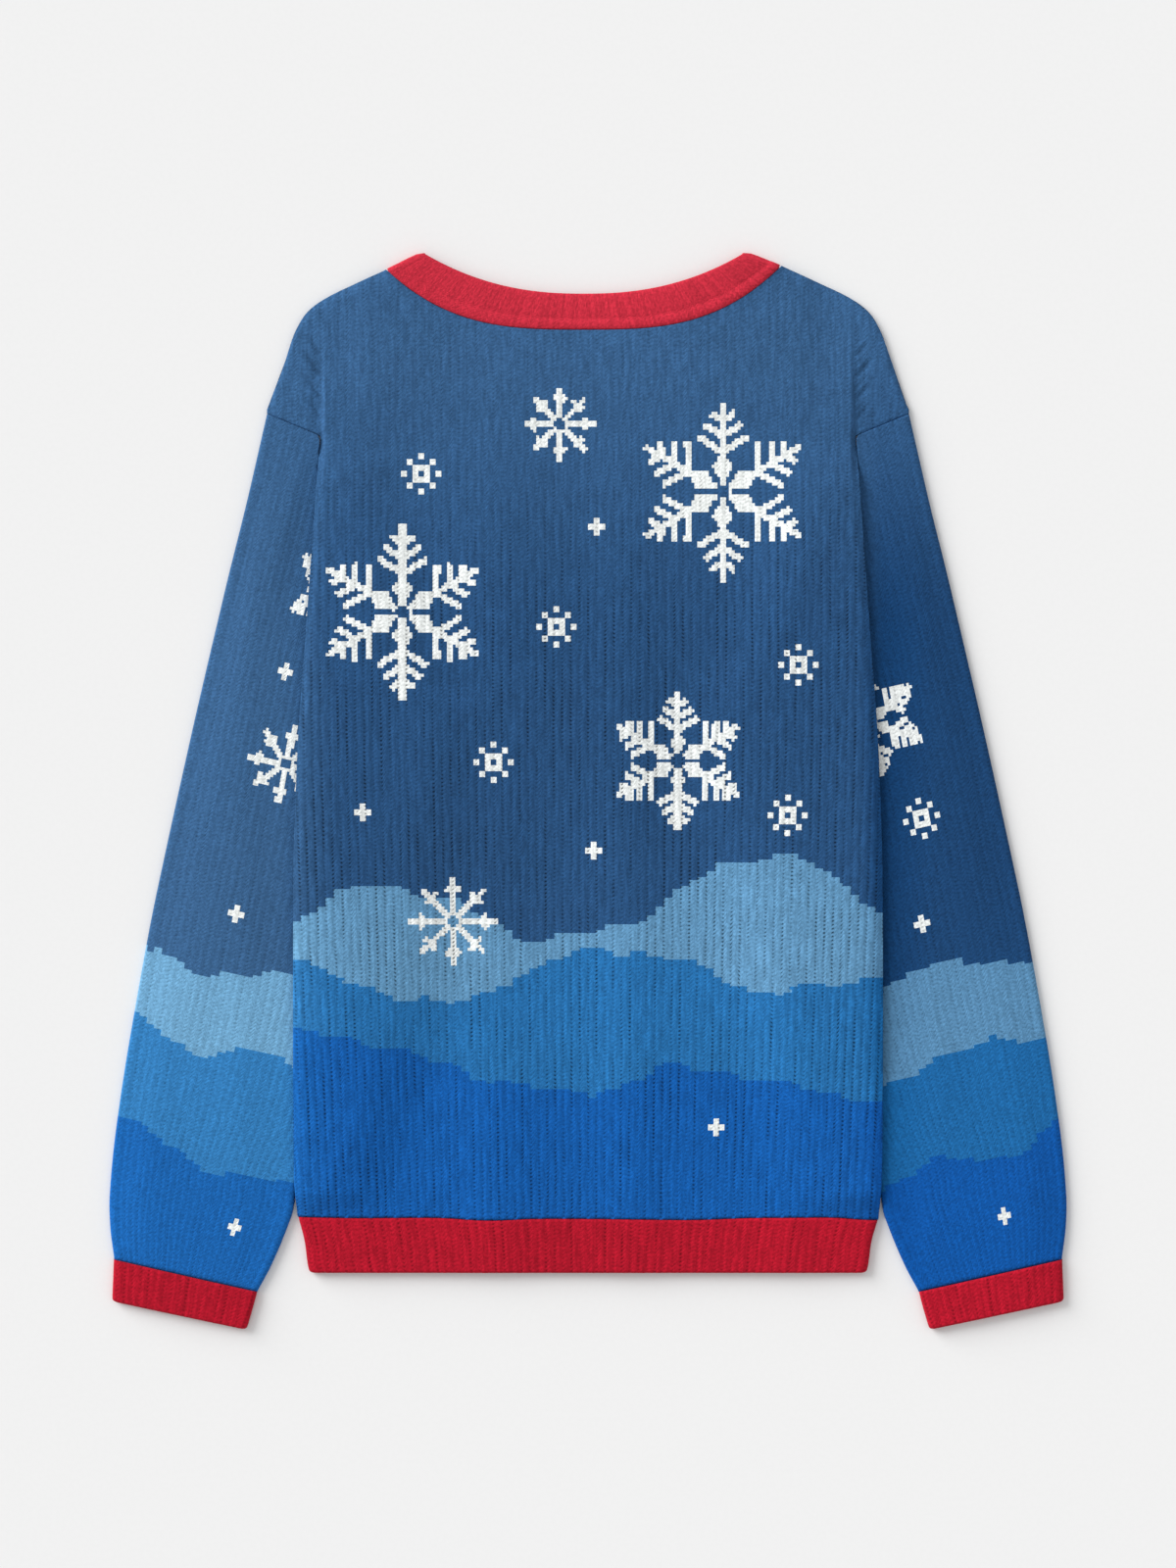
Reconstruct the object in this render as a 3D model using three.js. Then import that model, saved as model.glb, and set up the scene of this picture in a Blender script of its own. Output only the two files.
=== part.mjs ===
// A long-sleeved Christmas sweater in ribbed knit, laid flat with its back upwards and its sleeves
// drawn down beside the body, so that the inner half of each sleeve lies under it.
// Millimetres. X runs across the body, Y from hem to neck and Z up from the surface it lies on.
// The origin is on that surface, in the middle of what the sweater covers.
import * as THREE from "three";

// Cloth.
const KNIT = 2.0; // one layer of knit between its ribs
const RIB_RISE = 0.6; // a rib stands this far out of the knit
const BAND = 2.6; // one layer of the hem band and cuffs
const BAND_RISE = 0.5;
const NECKBAND = 3.6; // the neckband is folded double
const NECK_RISE = 0.3;
const SEAM = 0.3; // pieces stay this far apart where they are sewn or lie on each other
const SLACK = 0.6; // air inside a flattened tube at its folds
const BODY_RIBS = 70; // across the back at the chest
const CAP_RIBS = 6; // out from the armhole corner to the end of the shoulder
const SLEEVE_RIBS = 26;
const CUFF_RIBS = 17;
const HEM_RIBS = 66;
const NECK_RIBS = 32;
const PLAIN_PER_SIDE = 14; // columns each side of the middle on a plain skin
const PLAIN_PER_CAP = 2; // and out from the armhole corner

// Body.
const HEM_SEAM_Y = -304.2;
const HEM_EDGE_Y = -343;
const ARMHOLE_CORNER = { x: 191, y: 254 }; // where the sleeve seam goes under the body's edge
const SHOULDER_END = { x: 229, y: 269.6 };
const SIDE_EDGE = [
  { y: -304.2, half: 207.2 },
  { y: -270, half: 209.4 },
  { y: -170, half: 210 },
  { y: -65, half: 209.8 },
  { y: 30, half: 206.8 },
  { y: 117, half: 200.7 },
  { y: 180, half: 196.2 },
  { y: 254, half: 191 },
];
const SHOULDER_LINE = [
  { x: 110, y: 388.2 },
  { x: 143.5, y: 372.4 },
  { x: 166.6, y: 362 },
  { x: 181.7, y: 355 },
  { x: 193.6, y: 347.9 },
  { x: 201.3, y: 341 },
  { x: 209.3, y: 327.3 },
  { x: 216.3, y: 306.3 },
  { x: 225, y: 281 },
  { x: 229, y: 272.6 },
];

// Neck: each edge is a bowl, drop * |u| ** power above its lowest point, u being 1 at the shoulders.
const NECK_X = -3;
const NECK_SEAM_HALF = 141;
const NECK_TIP_HALF = 114.5;
const NECK_TIP_Y = 384.2;
const BACK_SEAM = { low: 329.2, power: 3.1 };
const BACK_TOP = { low: 355.2, power: 2.35 };
const FRONT_SEAM = { low: 278, power: 2.6 };
const FRONT_TOP = { low: 303, power: 2.4 };
const NECK_FOLD = { seam: 0.985, top: 0.985 }; // where the fold at a shoulder starts on each edge
const NECK_CLEAR = 0.5; // from the panels' edges, which curve there
const NECK_SAG = 0.9; // the back of the band dips this much in the middle
// The neckband's section: share of its width from seam to top edge, and share of half its
// thickness, positive on the outside. A roll beside the seam and a groove above it show there.
const NECK_SECTION = [
  { w: 0, h: 0.6 },
  { w: 0.1, h: 1.1 },
  { w: 0.26, h: 1.05 },
  { w: 0.33, h: 0.72 },
  { w: 0.42, h: 0.9, ribbed: true },
  { w: 0.9, h: 0.9, ribbed: true },
  { w: 1, h: 0.4 },
  { w: 1, h: -0.4 },
  { w: 0.88, h: -1 },
  { w: 0.1, h: -1 },
  { w: 0, h: -0.6 },
];
const TIP = { from: 0.72, full: 0.92, drop: 1.4 }; // the fold's outer side curves in towards its tip

// Sleeve: its fold outside and its seam side, which is under the body above the hem.
const SLEEVE_OUTER = [
  { y: -333.2, x: 338.1 },
  { y: -310, x: 341 },
  { y: -288.8, x: 341.4 },
  { y: -239.8, x: 336.7 },
  { y: -169.8, x: 325.9 },
  { y: -64.8, x: 306.3 },
  { y: 40.3, x: 283.2 },
  { y: 145.3, x: 258.7 },
  { y: 215.3, x: 241.5 },
  { y: 269, x: 229.2 },
];
const SLEEVE_INNER = [
  { y: -356.3, x: 235.9 },
  { y: -337.8, x: 226 },
  { y: -309.8, x: 214.2 },
  { y: -299.3, x: 210.6 },
  { y: -286, x: 208.5 },
  { y: -240, x: 187 },
  { y: -170, x: 166 },
  { y: -90, x: 152 },
  { y: -10, x: 141 },
  { y: 60, x: 132 },
];
// The sleeve's end: along the shoulder seam, down the body's edge, then under the body to the underarm.
const ARMHOLE = [
  { x: 229.2, y: 269.3 },
  { x: 191.7, y: 253.8 },
  { x: 196.2, y: 216 },
  { x: 188, y: 188 },
  { x: 161, y: 120 },
  { x: 132, y: 60 },
];
const SLEEVE_PUFF = 2.2; // extra air in the part of a sleeve that lies free
const PUFF_SIDE = { from: 10, over: 34 }; // it begins beside the body
const PUFF_AT_CUFF = { left: 0.35, over: 0.1 }; // what is left of it at the cuff, and its share of length
const PUFF_AT_ARMHOLE = 0.14; // share of the length over which it ends at the armhole
const TURNED_IN = { from: 3, over: 26 }; // a sleeve's layers come together towards its folds
const ARMHOLE_BEND = 0.5; // share of the length above which the rows bend to follow the armhole
// Soft creases of a sleeve, from the armhole down: both ends, height and half width. They fade in
// and out over shares of their length.
const CREASE_FADE = { in: 0.2, out: 0.45 };
const SLEEVE_CREASES = [
  { x: 203, y: 246, toX: 231, toY: 118, rise: 1.1, width: 7 },
  { x: 218, y: 252, toX: 252, toY: 96, rise: 0.8, width: 8 },
  { x: 262, y: -40, toX: 291, toY: -210, rise: 0.7, width: 12 },
];

// Cuff, from its free end up to its seam.
const CUFF_END = { outer: { x: 339.5, y: -363.3 }, inner: { x: 243.8, y: -383.6 } };
const CUFF_SEAM = { outer: { x: 338.3, y: -333.6 }, inner: { x: 236.1, y: -356.7 } };
const CUFF_PUFF = 0.8; // extra air in its middle
const CUFF_EASE = 0.3; // share of its width over which that begins at each fold

// Half width of the hem band, which draws the body in.
const HEM_EDGE = [
  { y: HEM_EDGE_Y, half: 198.6 },
  { y: -337, half: 200 },
  { y: -322, half: 202 },
  { y: HEM_SEAM_Y - SEAM, half: 206.6 },
];
const HEM_AIR = { share: 0.8, atEdge: 0.6, ease: 0.1 }; // of the body's air, least at its free edge

// Soft upright folds of the back: their place, height, half width and the level where they fade out.
const FOLDS = [
  { x: -168, rise: 1.0, width: 20, fadeY: 120 },
  { x: -70, rise: 2.0, width: 26, fadeY: 200 },
  { x: 32, rise: 2.1, width: 22, fadeY: 210 },
  { x: 147, rise: 1.8, width: 24, fadeY: 180 },
];
const FOLD_FADE = 150; // length over which a fold fades out upwards
const CROWN = { rise: 1.0, top: 359.6, fade: 100 }; // the back rises this much more between its sides
const OVER_SLEEVE = 5.8; // the front lies this high where a sleeve is under it
const CLIMB = 30; // width of the slope from the surface up on to the sleeve
const CLIMB_ENDS = 16; // the slope is over this far before the sleeve's hidden side
const HEM_CLIMB = 20; // and it begins within this height above the hem's seam
const OVER_NECKBAND = 2.0; // air under the back where the front of the neckband is below it
const NECK_START = { from: 262, to: 288 }; // it begins between these levels
const NECK_SIDES = { from: 10, over: 25 }; // and ends this far outside the neck
// The step that the body's edge leaves in the back above the armhole corner: it rises between two
// levels, fades out between two more, and comes down from its inner side to its outer side.
const LEDGE = { rise: 2.4, from: 216, full: 250, fade: 268, end: 324, inner: 187, outer: 191 };
const LEDGE_SIDE = { from: 120, full: 175 }; // it grows between these distances from the middle
const EDGE_ROUND = 8; // the back thins out and its ribs end within this distance of its edges
const EDGE_THIN = 0.4;

const BLUE = { color: 0x2a5688, roughness: 0.9, metalness: 0 };
const RED = { color: 0xb3202f, roughness: 0.9, metalness: 0 };

const NECK_SPREAD = 1.2; // the neckband's stations lie closer together towards the shoulders
const NECK_PLAIN_STATIONS = 24; // along its hidden front

const clamp01 = (t) => Math.min(1, Math.max(0, t));
const smooth = (t) => clamp01(t) ** 2 * (3 - 2 * clamp01(t));
const mix = (a, b, t) => a + (b - a) * t;

// A column of a table at a place between its rows, as a smooth curve that doesn't overshoot. Where
// the slopes on both sides of a row have one sign, its own slope is their harmonic mean, else 0.
function along(table, from, to, at) {
  const last = table.length - 2;
  const turned = table[0][from] > table[last + 1][from] ? -1 : 1;
  let i = 0;
  while (i < last && (at - table[i + 1][from]) * turned > 0) i++;
  const slope = (j) => (table[j + 1][to] - table[j][to]) / (table[j + 1][from] - table[j][from]);
  const knot = (j) => {
    if (j === 0 || j > last) return slope(Math.min(j, last));
    const [a, b] = [slope(j - 1), slope(j)];
    return a * b > 0 ? (2 * a * b) / (a + b) : 0;
  };
  const span = table[i + 1][from] - table[i][from];
  const t = (at - table[i][from]) / span;
  const [t2, t3] = [t * t, t * t * t];
  return (
    (2 * t3 - 3 * t2 + 1) * table[i][to] +
    (t3 - 2 * t2 + t) * span * knot(i) +
    (3 * t2 - 2 * t3) * table[i + 1][to] +
    (t3 - t2) * span * knot(i + 1)
  );
}

const sideHalf = (y) => along(SIDE_EDGE, "y", "half", Math.min(ARMHOLE_CORNER.y, Math.max(HEM_SEAM_Y, y)));
const shoulderY = (x) => along(SHOULDER_LINE, "x", "y", Math.abs(x));

// The height of a neck edge at x, and of a panel's whole top edge.
function bowlY(edge, half, endY, x) {
  const u = clamp01(Math.abs(x - NECK_X) / half);
  return edge.low + (endY - edge.low) * u ** edge.power;
}
const seamEndY = (x) => shoulderY(NECK_X + Math.sign(x - NECK_X) * NECK_SEAM_HALF);
const neckSeamY = (edge, x) => bowlY(edge, NECK_SEAM_HALF, seamEndY(x), x);
const panelTopY = (edge, x) =>
  Math.abs(x - NECK_X) < NECK_SEAM_HALF ? neckSeamY(edge, x) : shoulderY(x);

// How far in from the middle the hidden side of the sleeve reaches at a height.
function hiddenEdge(y) {
  const underarm = ARMHOLE[ARMHOLE.length - 1];
  if (y <= underarm.y) return along(SLEEVE_INNER, "y", "x", Math.max(y, SLEEVE_INNER[3].y));
  return along([...ARMHOLE.slice(2)].reverse(), "y", "x", Math.min(y, ARMHOLE[2].y));
}

// Height of the front panel's underside: it lies on the surface, and climbs on to each sleeve.
function frontUnderside(x, y) {
  const start = hiddenEdge(y) - CLIMB - CLIMB_ENDS;
  const overHem = smooth((y - HEM_SEAM_Y) / HEM_CLIMB);
  const belowCorner = 1 - smooth((y - LEDGE.from) / (LEDGE.full - LEDGE.from));
  return OVER_SLEEVE * smooth((Math.abs(x) - start) / CLIMB) * overHem * belowCorner;
}

// Height of a soft upright fold of the back.
function foldRise(fold, x, y) {
  const fade = smooth((fold.fadeY + FOLD_FADE / 2 - y) / FOLD_FADE);
  return fold.rise * fade * Math.exp(-(((x - fold.x) / fold.width) ** 2));
}

// Air between the front and the back.
function airInside(x, y) {
  const half = y > ARMHOLE_CORNER.y ? SHOULDER_END.x : sideHalf(y);
  const across = 1 - clamp01(Math.abs(x) / half) ** 4;
  const crown = CROWN.rise * smooth((CROWN.top - y) / CROWN.fade);
  const folds = FOLDS.reduce((sum, fold) => sum + foldRise(fold, x, y), 0);
  const byNeck = smooth((y - NECK_START.from) / (NECK_START.to - NECK_START.from));
  const pastNeck = Math.abs(x - NECK_X) - NECK_SEAM_HALF;
  const fromNeck = smooth((pastNeck - NECK_SIDES.from) / NECK_SIDES.over);
  return SEAM + Math.max((crown + folds) * across, OVER_NECKBAND * byNeck * (1 - fromNeck));
}

// Height of the step above the armhole corner.
function ledge(x, y) {
  const out = Math.abs(x);
  const up = smooth((y - LEDGE.from) / (LEDGE.full - LEDGE.from));
  const fade = 1 - smooth((y - LEDGE.fade) / (LEDGE.end - LEDGE.fade));
  const down = 1 - smooth((out - LEDGE.inner) / (LEDGE.outer - LEDGE.inner));
  const side = smooth((out - LEDGE_SIDE.from) / (LEDGE_SIDE.full - LEDGE_SIDE.from));
  return LEDGE.rise * up * fade * down * side;
}
const backUnderside = (x, y) => frontUnderside(x, y) + KNIT + airInside(x, y) + ledge(x, y);

// 1 at the body's side or shoulder edge, 0 a little way in.
function atEdge(x, y) {
  const inwards = y < ARMHOLE_CORNER.y ? sideHalf(y) - Math.abs(x) : EDGE_ROUND;
  const down = Math.abs(x - NECK_X) > NECK_SEAM_HALF ? shoulderY(x) - y : EDGE_ROUND;
  return 1 - smooth(Math.min(inwards, down) / EDGE_ROUND);
}

// One closed wall, gathered from skins of points and the rims between them.
class Wall {
  positions = [];
  triangles = [];

  // Rows of points, with null where the cloth has none. Returns their numbers in the same rows.
  skin(rows, { up = true, ring = false } = {}) {
    const numbers = rows.map((row) =>
      row.map((p) => (p ? this.positions.push(...p) / 3 - 1 : null)),
    );
    for (let r = 0; r + 1 < rows.length; r++) {
      const columns = rows[r].length;
      for (let c = 0; c < (ring ? columns : columns - 1); c++) {
        const d = (c + 1) % columns;
        const [n, e] = [numbers[r], numbers[r + 1]];
        const quad = up ? [n[c], n[d], e[d], e[c]] : [n[c], e[c], e[d], n[d]];
        if (!quad.includes(null)) this.quad(quad);
      }
    }
    return numbers;
  }

  // Rings of points that follow each other round and meet again.
  loop(rings) {
    const numbers = rings.map((ring) => ring.map((p) => this.positions.push(...p) / 3 - 1));
    numbers.forEach((ring, r) => {
      const next = numbers[(r + 1) % numbers.length];
      ring.forEach((n, c) => {
        const d = (c + 1) % ring.length;
        this.quad([n, next[c], next[d], ring[d]]);
      });
    });
  }

  quad([a, b, c, d]) {
    this.triangles.push(a, b, c, a, c, d);
  }

  // Joins two lines of points that run beside each other and may have different counts.
  rim(a, b, flip = false) {
    const add = (p, q, r) => this.triangles.push(...(flip ? [p, r, q] : [p, q, r]));
    let [i, j] = [0, 0];
    while (i < a.length - 1 || j < b.length - 1) {
      const nextA = (i + 1) / (a.length - 1);
      const nextB = (j + 1) / (b.length - 1);
      if (j === b.length - 1 || (i < a.length - 1 && nextA <= nextB)) add(a[i], a[++i], b[j]);
      else add(a[i], b[j + 1], b[j++]);
    }
  }

  mesh(name, look) {
    const geometry = new THREE.BufferGeometry();
    geometry.setAttribute("position", new THREE.Float32BufferAttribute(this.positions, 3));
    geometry.setIndex(this.triangles);
    geometry.computeVertexNormals();
    const made = new THREE.Mesh(geometry, new THREE.MeshStandardMaterial(look));
    made.name = name;
    return made;
  }
}

// Levels of a panel's rows of points, from the hem to the armhole corner.
const PLAIN_ROWS = [-304.2, -294, -284, -262, -190, -100, 0, 60, 90, 124, 180, 216, 254];
const RIBBED_ROWS = [-304.2, -294, -284, -250, -150, -40, 60, 150, 216, 254];
const YOKE_STEPS = [0.3, 0.62, 0.87, 1]; // shares of the way from there to the top edge

// The points of one skin of a body panel, with a number of columns each side of the middle and
// more of them out to the shoulder's end above the armhole corner.
function panelSkin(topEdge, levels, columns, capColumns, height) {
  const all = columns + capColumns;
  const row = (place) => {
    const made = [];
    for (let c = -all; c <= all; c++) made.push(place(c));
    return made;
  };
  const point = (x, y, c) => [x, y, height(x, y, c)];
  const below = levels.slice(0, -1).map((y) =>
    row((c) => (Math.abs(c) > columns ? null : point((c / columns) * sideHalf(y), y, c))),
  );
  const columnX = (c) => {
    const past = Math.max(0, Math.abs(c) - columns) / capColumns;
    const main = Math.min(Math.abs(c), columns) / columns;
    return Math.sign(c) * (main * ARMHOLE_CORNER.x + past * (SHOULDER_END.x - ARMHOLE_CORNER.x));
  };
  const footY = (x) => {
    const past = (Math.abs(x) - ARMHOLE_CORNER.x) / (SHOULDER_END.x - ARMHOLE_CORNER.x);
    return mix(ARMHOLE_CORNER.y, SHOULDER_END.y, clamp01(past));
  };
  const above = [0, ...YOKE_STEPS].map((share) =>
    row((c) => {
      const x = columnX(c);
      return point(x, mix(footY(x), panelTopY(topEdge, x), share), c);
    }),
  );
  return { rows: [...below, ...above], corner: below.length, columns, capColumns };
}

// The numbers along a panel's outline, side by side from the hem's left end round to it again.
function outline(numbers, { corner, columns, capColumns }) {
  const top = numbers.length - 1;
  const [left, right] = [capColumns, capColumns + 2 * columns];
  const end = right + capColumns;
  const upTo = (from, to) => {
    const step = Math.sign(to - from);
    return Array.from({ length: Math.abs(to - from) + 1 }, (_, i) => from + step * i);
  };
  return [
    upTo(left, right).map((c) => numbers[0][c]),
    upTo(0, corner).map((r) => numbers[r][right]),
    upTo(right, end).map((c) => numbers[corner][c]),
    upTo(corner, top).map((r) => numbers[r][end]),
    upTo(end, 0).map((c) => numbers[top][c]),
    upTo(top, corner).map((r) => numbers[r][0]),
    upTo(0, left).map((c) => numbers[corner][c]),
    upTo(corner, 0).map((r) => numbers[r][left]),
  ];
}

// A body panel: an upper and a lower skin, joined round the outline.
function panel(name, upper, lower) {
  const wall = new Wall();
  const upperSides = outline(wall.skin(upper.rows), upper);
  const lowerSides = outline(wall.skin(lower.rows, { up: false }), lower);
  upperSides.forEach((side, i) => wall.rim(lowerSides[i], side));
  return wall.mesh(name, BLUE);
}

function back() {
  const ribbed = (x, y, c) => {
    const edge = atEdge(x, y);
    const rise = c % 2 ? RIB_RISE : 0;
    return backUnderside(x, y) + KNIT * (1 - EDGE_THIN * edge) + rise * (1 - edge);
  };
  return panel(
    "back",
    panelSkin(BACK_SEAM, RIBBED_ROWS, BODY_RIBS, 2 * CAP_RIBS, ribbed),
    panelSkin(BACK_SEAM, PLAIN_ROWS, PLAIN_PER_SIDE, PLAIN_PER_CAP, backUnderside),
  );
}

function front() {
  const inside = (x, y) => frontUnderside(x, y) + KNIT;
  return panel(
    "front",
    panelSkin(FRONT_SEAM, PLAIN_ROWS, PLAIN_PER_SIDE, PLAIN_PER_CAP, inside),
    panelSkin(FRONT_SEAM, PLAIN_ROWS, PLAIN_PER_SIDE, PLAIN_PER_CAP, frontUnderside),
  );
}

const FOLD_STEPS = [0.25, 0.5, 0.75]; // round a fold, between its two layers

// A flattened tube: the upper layer from its far side to its near side, the near fold, the lower layer
// back again and the far fold. place(u, v) gives the plan, width(v) the tube's width, air(u, v) the
// space inside and `rise` how far the ribs of the upper layer stand out.
function tube(name, look, { place, width, air, thickness, rise, ribs, steps }) {
  const wall = new Wall();
  const plainColumns = Math.max(6, Math.round(ribs / 2));
  const ring = (v, outside) => {
    const inset = (thickness + SLACK / 2) / width(v);
    const made = [];
    const put = (u, z) => made.push([...place(u, v), z]);
    const fold = (u, inwards, from) => {
      for (const share of FOLD_STEPS) {
        const angle = Math.PI * share;
        const reach = outside ? inset : SLACK / 2 / width(v);
        const radius = outside ? thickness + SLACK / 2 : SLACK / 2;
        put(u + inwards * reach * Math.sin(angle), thickness + SLACK / 2 + from * radius * Math.cos(angle));
      }
    };
    const upperColumns = outside ? 2 * ribs : plainColumns;
    for (let c = 0; c <= upperColumns; c++) {
      const u = mix(1 - inset, inset, c / upperColumns);
      const rib = outside && c % 2 && c > 1 && c < upperColumns - 1 ? rise : 0;
      put(u, thickness + air(u, v) + (outside ? thickness + rib : 0));
    }
    fold(inset, -1, 1);
    for (let c = 0; c <= plainColumns; c++) {
      put(mix(inset, 1 - inset, c / plainColumns), outside ? 0 : thickness);
    }
    fold(1 - inset, 1, -1);
    return made;
  };
  const outer = wall.skin(steps.map((v) => ring(v, true)), { ring: true });
  const inner = wall.skin(steps.map((v) => ring(v, false)), { ring: true, up: false });
  // A ring's upper layer, near fold, lower layer and far fold.
  const parts = (numbers, upperColumns) => {
    const folds = FOLD_STEPS.length + 1;
    const ends = [0, upperColumns, upperColumns + folds, upperColumns + folds + plainColumns];
    const closed = [...numbers, numbers[0]];
    return ends.map((end, i) => closed.slice(end, (ends[i + 1] ?? closed.length) + 1));
  };
  for (const row of [0, steps.length - 1]) {
    const out = parts(outer[row], 2 * ribs);
    const within = parts(inner[row], plainColumns);
    out.forEach((part, i) => wall.rim(part, within[i], row === 0));
  }
  return wall.mesh(name, look);
}

const distance = (a, b) => Math.hypot(a.x - b.x, a.y - b.y);
const between = (a, b, t) => ({ x: mix(a.x, b.x, t), y: mix(a.y, b.y, t) });

// The point a share of the way along a line of straight stretches.
function partWay(line, share) {
  const lengths = line.slice(1).map((p, i) => distance(p, line[i]));
  let left = share * lengthOf(line);
  let i = 0;
  while (i < lengths.length - 1 && left > lengths[i]) left -= lengths[i++];
  return between(line[i], line[i + 1], left / lengths[i]);
}

const lengthOf = (line) => line.slice(1).reduce((sum, p, i) => sum + distance(p, line[i]), 0);
const ARMHOLE_LENGTH = lengthOf(ARMHOLE);

// Plan of a sleeve: u runs from the outer fold to the seam side, v from the cuff up to the armhole.
function sleevePlan(u, v) {
  const outerY = mix(SLEEVE_OUTER[0].y, SLEEVE_OUTER.at(-1).y, v);
  const innerY = mix(SLEEVE_INNER[0].y, SLEEVE_INNER.at(-1).y, v);
  const outer = { x: along(SLEEVE_OUTER, "y", "x", outerY), y: outerY };
  const inner = { x: along(SLEEVE_INNER, "y", "x", innerY), y: innerY };
  const straight = between(outer, inner, u);
  const end = partWay(ARMHOLE, u);
  const endStraight = between(ARMHOLE[0], ARMHOLE.at(-1), u);
  const bend = smooth((v - ARMHOLE_BEND) / (1 - ARMHOLE_BEND)) * v;
  return {
    x: straight.x + (end.x - endStraight.x) * bend,
    y: straight.y + (end.y - endStraight.y) * bend,
    width: distance(outer, inner),
  };
}

// Height of a soft crease at a point of the plan.
function creaseRise(crease, x, y) {
  const along = new THREE.Vector2(crease.toX - crease.x, crease.toY - crease.y);
  const from = new THREE.Vector2(x - crease.x, y - crease.y);
  const share = from.dot(along) / along.lengthSq();
  const off = from.cross(along) / along.length();
  const fade = smooth(share / CREASE_FADE.in) * smooth((1 - share) / CREASE_FADE.out);
  return crease.rise * fade * Math.exp(-((off / crease.width) ** 2));
}

// Air inside a sleeve: least under the body and at its folds and ends.
function sleeveAir(u, v) {
  const { x, y, width } = sleevePlan(u, v);
  const beside = x - (y > ARMHOLE_CORNER.y ? ARMHOLE_CORNER.x : sideHalf(y));
  const free = smooth((beside - PUFF_SIDE.from) / PUFF_SIDE.over);
  const ease = (way) => smooth((way * width - TURNED_IN.from) / TURNED_IN.over);
  const fromFold = ease(u) * ease(1 - u);
  const fromCuff = mix(PUFF_AT_CUFF.left, 1, smooth(v / PUFF_AT_CUFF.over));
  const fromEnds = fromCuff * smooth((1 - v) / PUFF_AT_ARMHOLE);
  const creases = SLEEVE_CREASES.reduce((sum, crease) => sum + creaseRise(crease, x, y), 0);
  return SLACK + (SLEEVE_PUFF * free * fromEnds + creases) * fromFold;
}

const SLEEVE_STEPS = [0, 0.03, 0.1, 0.2, 0.33, 0.46, 0.58, 0.69, 0.79, 0.87, 0.94, 1];
const CUFF_STEPS = [0, 0.12, 1];
const HEM_STEPS = [0, 0.1, 1];

function sleeve(name, side) {
  const place = (u, v) => {
    const { x, y } = sleevePlan(u, v);
    return [x, y];
  };
  const made = tube(name, BLUE, {
    place,
    width: (v) => (v < 1 ? sleevePlan(0, v).width : ARMHOLE_LENGTH),
    air: sleeveAir,
    thickness: KNIT,
    rise: RIB_RISE,
    ribs: SLEEVE_RIBS,
    steps: SLEEVE_STEPS,
  });
  return mirrored(made, side);
}

function cuff(name, side) {
  const ends = (v) => [
    between(CUFF_END.outer, CUFF_SEAM.outer, v),
    between(CUFF_END.inner, CUFF_SEAM.inner, v),
  ];
  const made = tube(name, RED, {
    place: (u, v) => {
      const { x, y } = between(...ends(v), u);
      return [x, y];
    },
    width: (v) => distance(...ends(v)),
    air: (u) => SLACK + CUFF_PUFF * smooth(u / CUFF_EASE) * smooth((1 - u) / CUFF_EASE),
    thickness: BAND,
    rise: BAND_RISE,
    ribs: CUFF_RIBS,
    steps: CUFF_STEPS,
  });
  return mirrored(made, side);
}

function hemBand() {
  const rowY = (v) => mix(HEM_EDGE[0].y, HEM_EDGE.at(-1).y, v);
  const half = (v) => along(HEM_EDGE, "y", "half", rowY(v));
  return tube("hem_band", RED, {
    place: (u, v) => [mix(half(v), -half(v), u), rowY(v)],
    width: (v) => 2 * half(v),
    air: (u, v) => {
      const x = mix(half(v), -half(v), u);
      const fromFolds = smooth(u / HEM_AIR.ease) * smooth((1 - u) / HEM_AIR.ease);
      const above = (airInside(x, HEM_SEAM_Y) - SEAM) * HEM_AIR.share;
      return SLACK + above * fromFolds * mix(HEM_AIR.atEdge, 1, v);
    },
    thickness: BAND,
    rise: BAND_RISE,
    ribs: HEM_RIBS,
    steps: HEM_STEPS,
  });
}

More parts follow.
